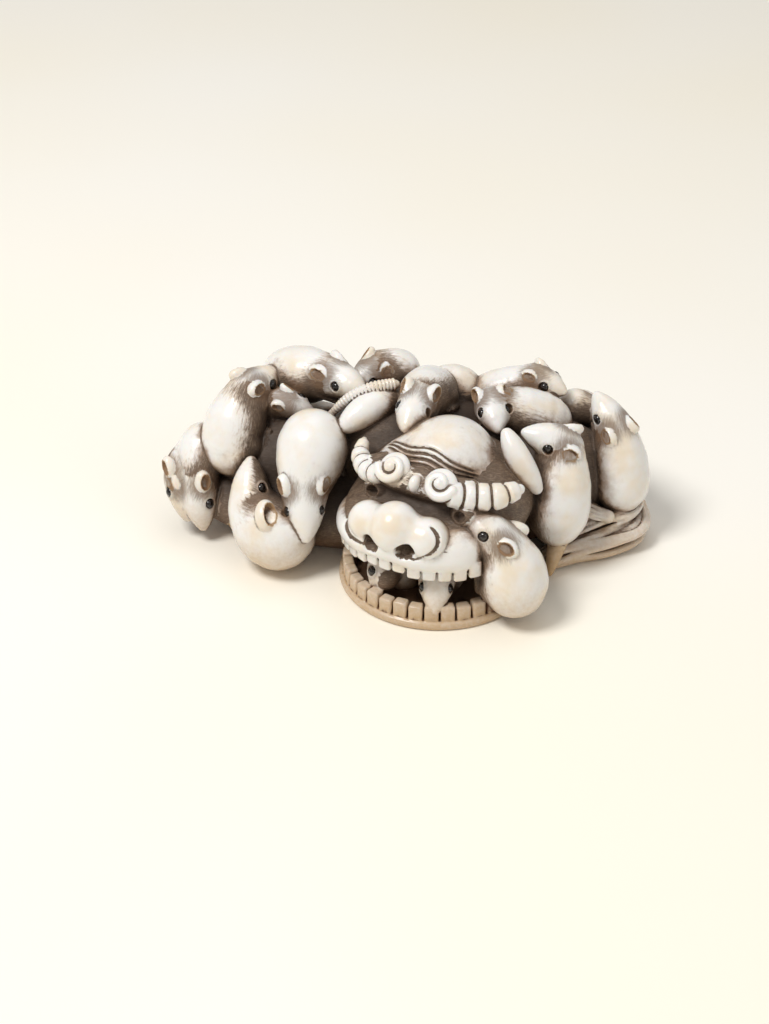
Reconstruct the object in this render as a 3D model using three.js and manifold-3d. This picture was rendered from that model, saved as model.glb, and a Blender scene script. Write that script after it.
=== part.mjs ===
// Netsuke: rats swarming over a lion-dance mask that lies on its own folded cloth.
// One block is carved in the round; every rat's eye is a separate black bead set in a pocket.
// Millimetres, +Z up, origin at the middle of the underside. The mask looks along -Y and to the left.

import * as THREE from 'three';
import { mergeVertices } from 'three/addons/utils/BufferGeometryUtils.js';
import Module from 'manifold-3d';

const wasm = await Module();
wasm.setup();

// Driving sizes.
const middle = new THREE.Vector3(-0.299, -0.236, 0); // middle of the underside in the carver's layout
const eyeBead = { radius: 0.52, clearance: 0.05, sunk: 0.28, at: 0.58, fromBack: 66 };
const earCup = { radius: 1.3, sides: 5, at: 0.22, fromBack: 50 };
const bodyMesh = { sides: 7, rings: [0.08, 0.34, 0.66, 0.92] };
const slimMesh = { sides: 6, rings: [0.1, 0.5, 0.9], belowGirth: 2.45 };
const headMesh = { sides: 6, rings: [0.15, 0.45, 0.8] };
const jaw = { x: 2.9, y: -4.7, yaw: 29, radius: 10.1, rimHeight: 1.25, floorHeight: 0.9 };
const lowerTeeth = { count: 13, arc: 148, ring: 9.0, width: 1.35, depth: 1.1, top: 2.1 };
const upperTeeth = { count: 9, arc: 106, ring: 9.3, width: 1.65, depth: 1.3, bottom: 5.75, top: 7.4 };
const upperLip = { ring: 8.9, height: 8.6, from: -80, to: 52 };
const cordHole = { radius: 1.1, spread: 9, depth: 3.2, x: -3, y: 6 };

const ivory = new THREE.MeshStandardMaterial({ color: 0xefe3cd, roughness: 0.32, metalness: 0 });
const blackBead = new THREE.MeshStandardMaterial({ color: 0x120f0d, roughness: 0.12, metalness: 0 });

// The rats. Points are the end of the rump, the middle of the body, the nape between the ears and the
// tip of the nose; back is the way the top of the head faces, and girth the body's widest half width.
const rats = [
  { name: 'rat_01', rump: [-21.2, 8.4, 8.0], belly: [-23.0, 6.2, 7.4], nape: [-23.6, 4.7, 7.5],
    nose: [-23.3, 2.0, 2.4], girth: 2.1, back: [0.1, -0.9, 0.3], ears: ['right'], eyes: ['right'] },
  { name: 'rat_02', rump: [-20.2, 7.6, 10.2], belly: [-21.7, 5.4, 8.6], nape: [-22.2, 3.2, 6.6],
    nose: [-21.6, 1.1, 1.8], girth: 2.7, back: [-0.4, -0.8, 0.2],
    ears: ['left', 'right'], eyes: ['left', 'right'] },
  { name: 'rat_03', rump: [-17.9, 4.2, 6.4], belly: [-18.3, 5.0, 11.0], nape: [-17.0, 6.8, 15.2],
    nose: [-13.6, 10.2, 15.4], girth: 3.4, back: [-0.3, -0.6, 0.8],
    ears: ['left', 'right'], eyes: ['right'] },
  { name: 'rat_04', rump: [-9.8, -2.4, 4.2], belly: [-13.6, -3.4, 4.1], nape: [-16.4, -1.9, 5.4],
    nose: [-16.3, 1.1, 10.2], girth: 3.9, back: [-0.45, -0.9, 0.4], earLift: 1.1, ears: ['right'],
    eyes: ['right'] },
  { name: 'rat_05', rump: [-9.8, 2.9, 15.2], belly: [-9.9, 0.3, 12.4], nape: [-10.8, -2.4, 9.5],
    nose: [-10.5, -5.9, 5.1], girth: 3.7, back: [0, -0.8, 0.5],
    ears: ['left', 'right'], eyes: ['left', 'right'] },
  { name: 'rat_06', rump: [-15.5, 8.9, 11.5], belly: [-14.3, 7.6, 13.0], nape: [-13.2, 6.5, 14.2],
    nose: [-10.0, 5.4, 13.2], girth: 1.9, back: [-0.1, -0.6, 0.8],
    ears: ['left', 'right'], eyes: ['left'] },
  { name: 'rat_07', rump: [-15.0, 12.4, 12.8], belly: [-11.9, 10.9, 14.6], nape: [-8.2, 8.7, 16.0],
    nose: [-4.7, 5.2, 15.8], girth: 3.2, back: [0, -0.3, 0.9], ears: ['left', 'right'], eyes: ['right'] },
  { name: 'rat_08', rump: [0.8, 12.4, 13.2], belly: [-1.3, 11.4, 14.8], nape: [-3.3, 11.0, 15.8],
    nose: [-6.1, 8.6, 14.2], girth: 2.5, back: [0.1, -0.5, 0.9],
    ears: ['left', 'right'], eyes: ['left'] },
  { name: 'rat_09', rump: [3.6, 9.6, 13.6], belly: [2.0, 6.4, 15.1], nape: [1.1, 2.9, 16.6],
    nose: [-0.4, -1.7, 15.6], girth: 2.9, back: [0, -0.4, 0.9], ears: ['left', 'right'], eyes: ['right'],
    emptyEyes: ['left'] },
  { name: 'rat_10', rump: [7.4, 9.4, 12.2], belly: [4.6, 9.6, 13.8], nape: [1.8, 9.8, 12.4],
    nose: [-0.4, 9.9, 8.4], girth: 2.6, back: [-0.6, 0.2, 0.7], ears: [], eyes: [] },
  { name: 'rat_11', rump: [6.6, 9.9, 12.6], belly: [9.6, 8.9, 13.8], nape: [13.2, 8.8, 15.7],
    nose: [16.3, 6.7, 15.0], girth: 2.4, back: [0.1, -0.3, 0.9],
    ears: ['left', 'right'], eyes: ['left', 'right'] },
  { name: 'rat_12', rump: [16.8, 5.9, 11.2], belly: [13.4, 5.4, 12.9], nape: [8.4, 5.0, 15.0],
    nose: [9.1, 0.8, 14.0], girth: 2.8, back: [0, -0.5, 0.9],
    ears: ['left', 'right'], eyes: ['left', 'right'] },
  { name: 'rat_13', rump: [15.1, -4.4, 3.4], belly: [15.3, -2.8, 8.0], nape: [16.2, -0.6, 13.0],
    nose: [11.7, -0.9, 14.8], girth: 3.4, back: [0.2, -0.5, 0.9],
    ears: ['left', 'right'], eyes: ['left'] },
  { name: 'rat_14', rump: [22.4, 2.0, 3.2], belly: [22.1, 2.9, 7.6], nape: [21.8, 3.5, 12.0],
    nose: [19.5, 5.9, 15.2], girth: 3.2, back: [0.3, -0.9, 0.3],
    ears: ['left', 'right'], eyes: ['left'] },
  { name: 'rat_15', rump: [9.6, -13.4, 1.2], belly: [10.5, -12.6, 4.8], nape: [9.6, -12.0, 8.5],
    nose: [5.2, -10.7, 11.5], girth: 3.4, back: [0.5, -0.3, 0.8],
    ears: ['left', 'right'], eyes: ['left'] },
  { name: 'rat_16', rump: [0.8, -5.2, 2.2], belly: [-0.4, -7.3, 2.0], nape: [-2.5, -8.6, 4.9],
    nose: [-3.5, -10.2, 2.0], girth: 1.9, back: [0.3, -0.9, 0.3], ears: [], eyes: ['right'] },
  { name: 'rat_17', rump: [3.8, -6.0, 2.4], belly: [3.5, -8.8, 2.9], nape: [2.8, -10.7, 5.0],
    nose: [2.5, -14.2, 2.1], girth: 2.2, back: [0, -0.5, 0.9], ears: [], eyes: ['left', 'right'] },
  { name: 'rat_18', rump: [15.9, 9.3, 11.0], belly: [17.2, 9.0, 11.8], nape: [18.6, 8.8, 11.8],
    nose: [22.0, 8.4, 10.6], girth: 2.1, back: [0, -0.2, 1], ears: ['left'], eyes: ['left'] },
  { name: 'rat_19', rump: [-20.0, 9.6, 5.6], belly: [-16.8, 11.7, 6.4], nape: [-12.4, 12.4, 7.8],
    nose: [-7.8, 12.6, 9.4], girth: 3.3, back: [0, 0.8, 0.6], ears: ['left'], eyes: ['left'] },
  { name: 'rat_20', rump: [7.0, 12.0, 9.0], belly: [3.0, 12.6, 8.4], nape: [-1.6, 12.5, 6.8],
    nose: [-5.2, 13.2, 3.6], girth: 3.2, back: [0, 0.9, 0.5], ears: ['left'], eyes: ['right', 'left'] },
  { name: 'rat_21', rump: [10.6, 10.8, 4.4], belly: [14.6, 10.4, 5.8], nape: [18.8, 8.9, 7.8],
    nose: [22.6, 7.2, 10.2], girth: 3.3, back: [0.2, 0.9, 0.4], ears: ['left'], eyes: ['right'] },
];

const vec = (point) => new THREE.Vector3(...point);
const degrees = THREE.MathUtils.degToRad;

// A closed three.js geometry as a solid that can be joined and cut.
function solidOf(geometry) {
  geometry.deleteAttribute('normal');
  geometry.deleteAttribute('uv');
  const merged = mergeVertices(geometry, 1e-4);
  const corners = merged.index.array;
  const triangles = [];
  for (let i = 0; i < corners.length; i += 3) {
    const [a, b, c] = [corners[i], corners[i + 1], corners[i + 2]];
    if (a !== b && b !== c && c !== a) {
      triangles.push(a, b, c);
    }
  }
  const mesh = new wasm.Mesh({
    numProp: 3,
    vertProperties: new Float32Array(merged.attributes.position.array),
    triVerts: new Uint32Array(triangles),
  });
  return new wasm.Manifold(mesh);
}

function geometryOf(solid) {
  const mesh = solid.getMesh();
  const geometry = new THREE.BufferGeometry();
  geometry.setAttribute('position', new THREE.BufferAttribute(new Float32Array(mesh.vertProperties), 3));
  geometry.setIndex(new THREE.BufferAttribute(new Uint32Array(mesh.triVerts), 1));
  geometry.computeVertexNormals();
  return geometry;
}

// Value at t of a profile given as [t, value] pairs, eased between the pairs.
function profileAt(profile, t) {
  let i = 1;
  while (i < profile.length - 1 && profile[i][0] < t) {
    i += 1;
  }
  const [t0, low] = profile[i - 1];
  const [t1, high] = profile[i];
  return low + (high - low) * THREE.MathUtils.clamp((t - t0) / (t1 - t0), 0, 1);
}

// Where a point at fraction t of a bent form lies: its middle line, the way it runs, its side and its top.
function frameAt(curve, t, backStart, backEnd) {
  const centre = curve.getPointAt(t);
  const forward = curve.getTangentAt(t);
  const up = backStart.clone().lerp(backEnd, t);
  up.addScaledVector(forward, -up.dot(forward)).normalize();
  const side = forward.clone().cross(up);
  return { centre, forward, up, side };
}

// A sphere drawn out along a curve: a closed form with round ends, half as wide and as high at each
// fraction of its length as size says.
function drawnSphere({ curve, backStart, backEnd = backStart, sides, rings, size }) {
  const geometry = new THREE.SphereGeometry(1, sides, rings.length + 1);
  const place = geometry.attributes.position;
  const fractions = [1, ...[...rings].reverse(), 0];
  for (let i = 0; i < place.count; i += 1) {
    const row = Math.floor(i / (sides + 1));
    const t = fractions[row];
    const { centre, up, side } = frameAt(curve, t, backStart, backEnd);
    const across = Math.hypot(place.getX(i), place.getZ(i));
    if (row > 0 && row < fractions.length - 1) {
      const [halfWidth, halfHeight] = size(t);
      centre.addScaledVector(side, halfWidth * place.getX(i) / across);
      centre.addScaledVector(up, halfHeight * place.getZ(i) / across);
    }
    place.setXYZ(i, centre.x, centre.y, centre.z);
  }
  return solidOf(geometry);
}

const smoothCurve = (points) => new THREE.CatmullRomCurve3(points.map(vec), false, 'centripetal');

// An ellipsoid with its own axes: along, and up.
function egg(centre, along, up, radii, sides, rings) {
  const [length, width, height] = radii;
  const geometry = new THREE.SphereGeometry(1, sides, rings);
  const forward = vec(along).normalize();
  const top = vec(up).addScaledVector(forward, -vec(up).dot(forward)).normalize();
  const side = forward.clone().cross(top);
  const axes = new THREE.Matrix4().makeBasis(side, forward, top);
  geometry.scale(width, length, height);
  geometry.applyMatrix4(axes);
  geometry.translate(...centre);
  return solidOf(geometry);
}

// A point given across, ahead of and above the middle of the mask's jaw.
function onMask(across, ahead, height) {
  const yaw = degrees(jaw.yaw);
  const x = jaw.x + across * Math.cos(yaw) - ahead * Math.sin(yaw);
  const y = jaw.y - across * Math.sin(yaw) - ahead * Math.cos(yaw);
  return [x, y, height];
}

// A direction in the mask's own across, ahead and up.
function maskWay(across, ahead, rise) {
  const yaw = degrees(jaw.yaw);
  return [
    across * Math.cos(yaw) - ahead * Math.sin(yaw),
    -across * Math.sin(yaw) - ahead * Math.cos(yaw),
    rise,
  ];
}

// Rats.

// Half width along the body from rump to shoulders, as a share of the girth, and along the head from
// behind the nape to the nose, as a share of the head's length.
const bodyProfile = [
  [0, 0.2], [0.06, 0.5], [0.2, 0.84], [0.4, 1], [0.6, 0.94], [0.8, 0.72], [0.94, 0.44], [1, 0.3],
];
const headProfile = [
  [0, 0.1], [0.14, 0.31], [0.36, 0.39], [0.56, 0.36], [0.74, 0.28], [0.88, 0.19], [1, 0.07],
];
const headBehindNape = 0.2;     // how far the head's form starts behind the nape, as a share of its length

// The way the top of the body's form faces: the back's way, or another where the body runs along it.
function bodyTop(rat) {
  const run = vec(rat.nape).sub(vec(rat.rump)).normalize();
  const ways = [vec(rat.back).normalize(), vec([0, -1, 0]), vec([0, 0, 1])];
  return ways.find((way) => Math.abs(run.dot(way)) < 0.7);
}

function ratBody(rat) {
  const shoulder = vec(rat.nape).lerp(vec(rat.nose), 0.12);
  const { sides, rings } = rat.girth < slimMesh.belowGirth ? slimMesh : bodyMesh;
  return drawnSphere({
    curve: smoothCurve([rat.rump, rat.belly, shoulder.toArray()]),
    backStart: bodyTop(rat),
    sides,
    rings,
    size: (t) => {
      const radius = rat.girth * profileAt(bodyProfile, t);
      return [radius, radius];
    },
  });
}

function headCurve(rat) {
  const start = vec(rat.nape).lerp(vec(rat.nose), -headBehindNape);
  return new THREE.LineCurve3(start, vec(rat.nose));
}

const headLength = (rat) => vec(rat.nape).distanceTo(vec(rat.nose));

function ratHead(rat) {
  return drawnSphere({
    curve: headCurve(rat),
    backStart: vec(rat.back),
    sides: headMesh.sides,
    rings: headMesh.rings,
    size: (t) => {
      const radius = headLength(rat) * profileAt(headProfile, t);
      return [radius, radius * 0.94];
    },
  });
}

// A place on the skin of the head: how far along it, and how far round from its top to one side.
function onHead(rat, t, fromBack, sideways) {
  const { centre, forward, up, side } = frameAt(headCurve(rat), t, vec(rat.back), vec(rat.back));
  const turn = degrees(fromBack) * sideways;
  const out = up.clone().multiplyScalar(Math.cos(turn)).addScaledVector(side, Math.sin(turn));
  const radius = headLength(rat) * profileAt(headProfile, t);
  return { surface: centre.addScaledVector(out, radius), out, forward, side };
}

// A dished round ear that stands off the side of the head and opens forward.
function ratEar(rat, sideways) {
  const { surface, out, forward, side } = onHead(rat, earCup.at, earCup.fromBack, sideways);
  const r = earCup.radius * Math.min(1, headLength(rat) / 5);
  const outline = [[0, -0.75], [0.98, 0], [0.88, 0.4], [0, -0.1]];
  const profile = outline.map(([x, y]) => new THREE.Vector2(x * r, y * r));
  const geometry = new THREE.LatheGeometry(profile, earCup.sides);
  const facing = out.clone().addScaledVector(forward, 0.6);
  facing.addScaledVector(side, 0.4 * sideways).normalize();
  geometry.applyQuaternion(new THREE.Quaternion().setFromUnitVectors(new THREE.Vector3(0, 1, 0), facing));
  const lift = 0.12 * r + (rat.earLift ?? 0);
  const centre = surface.clone().addScaledVector(out, lift).addScaledVector(forward, -0.1 * r);
  geometry.translate(centre.x, centre.y, centre.z);
  return solidOf(geometry);
}

const sidewaysOf = { left: -1, right: 1 };

function eyeCentre(rat, whichSide) {
  const { surface, out } = onHead(rat, eyeBead.at, eyeBead.fromBack, sidewaysOf[whichSide]);
  return surface.addScaledVector(out, -eyeBead.sunk);
}

function ball(radius) {
  return new THREE.IcosahedronGeometry(radius, 0);
}

function union(solids) {
  return solids.reduce((whole, solid) => whole.add(solid));
}

// The mask.

function maskHead() {
  const ahead = maskWay(0, 1, 0);
  const up = [0, 0, 1];
  return union([
    egg(onMask(0, -2.0, 9.2), ahead, up, [8.2, 9.0, 5.8], 9, 5),         // skull
    egg(onMask(0, 1.0, 9.0), ahead, up, [9.3, 8.8, 3.1], 11, 5),          // muzzle
    egg(onMask(0.1, -1.5, 12.0), ahead, up, [6.0, 5.2, 5.4], 11, 7),      // forehead
    egg(onMask(-2.9, 0.7, 12.3), ahead, up, [3.8, 3.6, 3.0], 6, 3),       // its lower lobe
    egg(onMask(0, 3.2, 13.5), ahead, up, [2.5, 7.0, 1.7], 8, 4),          // brow ridge
  ]);
}

function maskLip() {
  const points = [];
  for (let step = 0; step <= 8; step += 1) {
    const turn = degrees(upperLip.from + (upperLip.to - upperLip.from) * step / 8);
    const height = upperLip.height - 0.9 * Math.abs(Math.sin(turn));
    points.push(onMask(upperLip.ring * Math.sin(turn), upperLip.ring * Math.cos(turn), height));
  }
  return drawnSphere({
    curve: smoothCurve(points),
    backStart: new THREE.Vector3(0, 0, 1),
    sides: 6,
    rings: [0.03, 0.18, 0.34, 0.5, 0.66, 0.82, 0.97],
    size: (t) => {
      const swell = Math.sin(Math.PI * (0.05 + 0.9 * t)) ** 0.3;
      return [1.8 * swell, 2.0 * swell];
    },
  });
}

function maskNose() {
  const ahead = maskWay(0, 1, 0.2);
  const up = [0, 0, 1];
  return union([
    egg(onMask(-0.3, 8.5, 10.8), ahead, up, [2.6, 2.5, 2.55], 8, 6),
    egg(onMask(-3.6, 7.9, 10.2), ahead, up, [2.2, 2.0, 1.95], 6, 5),
    egg(onMask(2.9, 7.8, 10.1), ahead, up, [2.3, 2.15, 2.1], 6, 5),
  ]);
}

function nostrils() {
  const inward = maskWay(0, -1, 0.4);
  const places = [onMask(-2.05, 9.7, 9.6), onMask(1.55, 9.5, 9.6)];
  return union(places.map((place) => egg(place, inward, [0, 0, 1], [2.6, 0.9, 0.85], 6, 4)));
}

// Blocks stood in a ring round the jaw.
function teeth({ count, arc, ring, width, depth }, bottom, top) {
  const blocks = [];
  for (let i = 0; i < count; i += 1) {
    const angle = arc * ((i + 0.5) / count - 0.5);
    const turn = degrees(angle);
    const block = new THREE.BoxGeometry(width, depth, top - bottom);
    block.rotateZ(-turn - degrees(jaw.yaw));
    block.translate(...onMask(ring * Math.sin(turn), ring * Math.cos(turn), (bottom + top) / 2));
    blocks.push(solidOf(block));
  }
  return union(blocks);
}

function lowerJaw() {
  const rim = new THREE.LatheGeometry([
    new THREE.Vector2(0, 0),
    new THREE.Vector2(jaw.radius - 0.5, 0),
    new THREE.Vector2(jaw.radius, 0.6),
    new THREE.Vector2(jaw.radius - 0.3, jaw.rimHeight),
    new THREE.Vector2(jaw.radius - 0.8, jaw.floorHeight),
    new THREE.Vector2(0, jaw.floorHeight),
  ], 18);
  rim.rotateX(Math.PI / 2);
  rim.translate(jaw.x, jaw.y, 0);
  return solidOf(rim);
}

// Each brow is a scroll with a banded tail that runs out to the side of the head.
const browShapes = {
  left: {
    scroll: [-2.6, 4.9, 15.0],
    tail: [[-3.4, 5.0, 14.0], [-5.6, 4.3, 13.3], [-7.6, 2.4, 13.5], [-8.2, 0.6, 14.1]],
    thick: 1.05,
  },
  right: {
    scroll: [2.85, 5.2, 14.9],
    tail: [[3.7, 5.0, 14.0], [5.7, 3.4, 13.3], [7.6, 2.3, 13.3], [9.2, 0.3, 13.5]],
    thick: 1.4,
  },
};

function brow({ scroll, tail, thick }) {
  const facing = maskWay(0, 0.8, 0.6);
  const grooves = [0.34, 0.56];
  return union([
    egg(onMask(...scroll), facing, [0, 0, 1], [1.1, 1.95, 1.95], 8, 4),
    drawnSphere({
      curve: smoothCurve(tail.map((point) => onMask(...point))),
      backStart: vec(facing),
      sides: 5,
      rings: [0.1, 0.26, 0.34, 0.48, 0.56, 0.7, 0.9],
      size: (t) => {
        const inGroove = grooves.some((groove) => Math.abs(t - groove) < 0.01);
        const swell = Math.sin(Math.PI * (0.14 + 0.76 * t)) ** 0.4;
        const radius = thick * swell * (inGroove ? 0.82 : 1);
        return [radius, radius];
      },
    }),
  ]);
}

// A smooth roll that swells in the middle, such as an ear or a fold.
function roll(points, halfWidth, halfHeight, top = new THREE.Vector3(0, 0, 1)) {
  return drawnSphere({
    curve: smoothCurve(points),
    backStart: top,
    sides: 6,
    rings: [0.08, 0.36, 0.64, 0.92],
    size: (t) => {
      const swell = Math.sin(Math.PI * (0.1 + 0.8 * t)) ** 0.6;
      return [halfWidth * swell, halfHeight * swell];
    },
  });
}

function maskEars() {
  const rightEarTop = new THREE.Vector3(-1, -1, 0.2);
  return union([
    roll([[-6.6, 1.0, 14.4], [-4.2, 2.6, 15.4], [-1.0, 5.0, 15.4]], 1.7, 1.7),
    roll([[9.8, -3.2, 16.0], [11.0, -4.6, 13.8], [12.8, -5.4, 11.0]], 1.35, 1.3, rightEarTop),
  ]);
}

function maskEyeballs() {
  return union([-4.6, 5.2].map((across) => (
    egg(onMask(across, 4.4, 11.6), maskWay(0, 1, 0.2), [0, 0, 1], [1.6, 1.4, 1.3], 5, 4)
  )));
}

function maskPupils() {
  return union([-4.6, 5.2].map((across) => (
    egg(onMask(across, 5.9, 12.0), maskWay(0, 1, 0.3), [0, 0, 1], [1.5, 0.62, 0.6], 5, 3)
  )));
}

function mouthHollow() {
  return egg(onMask(0, 1.6, 3.8), maskWay(0, 1, 0), [0, 0, 1], [9.6, 8.4, 2.9], 10, 5);
}

// What carries the rats: the swollen middle of the block, and the cloth.

function carvedMass() {
  const along = [1, 0, 0];
  const up = [0, 0, 1];
  return union([
    egg([-0.6, 5.2, 3.6], along, up, [22.4, 8.0, 5.4], 9, 5),
    egg([-11.6, 5.8, 7.0], along, up, [7.6, 4.8, 5.4], 6, 4),
    egg([0.8, 7.4, 8.2], along, up, [9.6, 5.6, 6.6], 7, 4),
    egg([-1.8, 3.4, 10.4], along, up, [5.6, 4.6, 4.6], 5, 4),
    egg([14.0, 4.4, 6.6], along, up, [7.8, 5.2, 6.2], 6, 4),
  ]);
}

function cloth() {
  return union([
    roll(
      [[12.8, -4.4, 0.8], [17.0, -1.9, 1.1], [20.8, -0.7, 1.4], [23.6, 0.8, 1.8], [24.2, 5.0, 2.4]],
      2.3,
      1.5,
    ),
    roll([[16.2, -1.2, 2.6], [19.7, 0.4, 3.0], [22.8, 2.0, 3.4], [24.0, 5.6, 4.0]], 2.0, 1.3),
    roll([[16.0, 1.1, 8.4], [17.2, 0.5, 6.4], [18.3, 0.0, 5.0], [20.8, -0.5, 4.2]], 1.2, 1.0),
  ]);
}

function tails() {
  const tail = (points, thick) => drawnSphere({
    curve: smoothCurve(points),
    backStart: new THREE.Vector3(0.1, 0.2, 1),
    sides: 5,
    rings: [0.08, 0.35, 0.65, 0.92],
    size: (t) => [thick * (1 - 0.7 * t), thick * (1 - 0.7 * t)],
  });
  return union([
    tail([[15.7, -3.4, 4.6], [15.1, -4.6, 2.8], [14.5, -5.7, 0.7]], 1.3),
    tail([[-1.2, 4.8, 16.9], [-3.8, 3.6, 17.0], [-6.0, 3.2, 16.0], [-8.2, 3.8, 13.6]], 0.6),
    tail([[-18.0, 1.6, 2.0], [-17.6, 2.1, 3.4], [-17.0, 2.6, 5.2]], 1.1),
  ]);
}

// The cord runs in at one hole in the underside and out at the other.
function cordPassage() {
  const { radius, spread, depth, x, y } = cordHole;
  return drawnSphere({
    curve: smoothCurve([
      [x - spread / 2, y, -radius * 2],
      [x - spread / 3, y, depth * 0.6],
      [x, y, depth],
      [x + spread / 3, y, depth * 0.6],
      [x + spread / 2, y, -radius * 2],
    ]),
    backStart: new THREE.Vector3(0, 1, 0),
    sides: 6,
    rings: [0.1, 0.35, 0.65, 0.9],
    size: () => [radius, radius],
  });
}

function underCut() {
  const slab = new THREE.BoxGeometry(80, 60, 20);
  slab.translate(0, 0, -10);
  return solidOf(slab);
}

function carve() {
  let block = union([carvedMass(), maskHead(), maskEyeballs(), cloth()]);
  block = block.subtract(mouthHollow());
  block = union([block, maskLip(), maskNose(), lowerJaw()]);
  block = block.add(teeth(lowerTeeth, jaw.floorHeight - 0.3, lowerTeeth.top));
  block = block.add(teeth(upperTeeth, upperTeeth.bottom, upperTeeth.top));
  block = union([block, brow(browShapes.left), brow(browShapes.right), maskEars(), tails()]);
  block = block.subtract(nostrils()).subtract(maskPupils());
  for (const rat of rats) {
    const ears = rat.ears.map((whichSide) => ratEar(rat, sidewaysOf[whichSide]));
    block = union([block, ratBody(rat), ratHead(rat), ...ears]);
  }
  for (const rat of rats) {
    for (const whichSide of [...rat.eyes, ...(rat.emptyEyes ?? [])]) {
      const pocket = ball(eyeBead.radius + eyeBead.clearance);
      pocket.translate(...eyeCentre(rat, whichSide));
      block = block.subtract(solidOf(pocket));
    }
  }
  return block.subtract(underCut()).subtract(cordPassage());
}

const group = new THREE.Group();
group.position.copy(middle).negate();

const carving = new THREE.Mesh(geometryOf(carve()), ivory);
carving.name = 'ivory_carving';
group.add(carving);

for (const rat of rats) {
  for (const whichSide of rat.eyes) {
    const bead = new THREE.Mesh(ball(eyeBead.radius), blackBead);
    bead.name = `${rat.name}_${whichSide}_eye`;
    bead.position.copy(eyeCentre(rat, whichSide));
    group.add(bead);
  }
}

export default group;
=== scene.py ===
import math
import time
import bpy
import numpy as np
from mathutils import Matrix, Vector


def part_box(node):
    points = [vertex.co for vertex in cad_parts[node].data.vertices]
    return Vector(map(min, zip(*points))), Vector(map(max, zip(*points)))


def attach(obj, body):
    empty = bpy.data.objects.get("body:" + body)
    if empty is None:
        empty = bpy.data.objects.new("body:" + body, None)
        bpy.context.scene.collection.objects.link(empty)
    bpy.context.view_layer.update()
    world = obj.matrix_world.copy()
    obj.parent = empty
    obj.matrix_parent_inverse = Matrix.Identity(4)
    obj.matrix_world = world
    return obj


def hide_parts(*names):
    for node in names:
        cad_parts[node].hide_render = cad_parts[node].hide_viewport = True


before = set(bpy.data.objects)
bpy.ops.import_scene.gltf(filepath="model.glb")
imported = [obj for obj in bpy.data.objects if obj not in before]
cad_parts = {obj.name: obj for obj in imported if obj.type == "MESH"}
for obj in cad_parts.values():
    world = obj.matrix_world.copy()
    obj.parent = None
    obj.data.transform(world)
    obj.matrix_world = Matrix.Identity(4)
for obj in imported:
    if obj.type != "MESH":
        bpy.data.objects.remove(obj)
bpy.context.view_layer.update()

import openvdb
from mathutils import Vector

startTime = time.time()


def report(words):
    print(f"[{time.time() - startTime:5.1f} s] {words}")


# everything is laid out in millimetres, with the same places as the solids,
# and moved by layoutMiddle at the end
layoutMiddle = np.array([-0.299, -0.236, 0.0])

carving = {
    "voxel": 0.11,              # fineness of the carved block
    "voxelQuick": 0.2,
    "triangles": 186000,
    "low": (-28.2, -17.4, -0.9),
    "high": (27.0, 16.8, 19.8),
    "underside": 0.0,
}


def unit(vector):
    vector = np.asarray(vector, float)
    return vector / np.linalg.norm(vector)


def squareTo(top, forward):
    top = np.asarray(top, float)
    return unit(top - forward * np.dot(top, forward))


def smoothLine(points, count):
    # centripetal Catmull-Rom line through the points, evenly spread
    p = [np.asarray(q, float) for q in points]
    p = [2 * p[0] - p[1]] + p + [2 * p[-1] - p[-2]]
    out = []
    for i in range(1, len(p) - 2):
        knots = [0.0]
        for j in range(3):
            knots.append(knots[-1] + max(np.linalg.norm(p[i + j] - p[i + j - 1]), 1e-6) ** 0.5)
        t0, t1, t2, t3 = knots
        for t in np.linspace(t1, t2, 24, endpoint=False):
            a1 = (t1 - t) / (t1 - t0) * p[i - 1] + (t - t0) / (t1 - t0) * p[i]
            a2 = (t2 - t) / (t2 - t1) * p[i] + (t - t1) / (t2 - t1) * p[i + 1]
            a3 = (t3 - t) / (t3 - t2) * p[i + 1] + (t - t2) / (t3 - t2) * p[i + 2]
            b1 = (t2 - t) / (t2 - t0) * a1 + (t - t0) / (t2 - t0) * a2
            b2 = (t3 - t) / (t3 - t1) * a2 + (t - t1) / (t3 - t1) * a3
            out.append((t2 - t) / (t2 - t1) * b1 + (t - t1) / (t2 - t1) * b2)
    out.append(p[-2])
    out = np.array(out)
    run = np.concatenate([[0], np.cumsum(np.linalg.norm(np.diff(out, axis=0), axis=1))])
    even = np.linspace(0, run[-1], count)
    return np.stack([np.interp(even, run, out[:, k]) for k in range(3)], axis=1)


def softMin(a, b, blend):
    h = np.maximum(blend - np.abs(a - b), 0) / blend
    return np.minimum(a, b) - h * h * blend * 0.25


def softMax(a, b, blend):
    return -softMin(-a, -b, blend)


class Form:
    # a closed form: its box, and how far a place is from its skin (less than 0 inside)
    def __init__(self, low, high, far):
        self.low = np.asarray(low, float)
        self.high = np.asarray(high, float)
        self.far = far


def joined(forms, blend):
    def far(x, y, z):
        whole = forms[0].far(x, y, z)
        for form in forms[1:]:
            whole = softMin(whole, form.far(x, y, z), blend)
        return whole
    return Form(np.min([f.low for f in forms], axis=0), np.max([f.high for f in forms], axis=0), far)


def without(form, hollow, blend):
    def far(x, y, z):
        return softMax(form.far(x, y, z), -hollow.far(x, y, z), blend)
    return Form(form.low, form.high, far)


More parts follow.
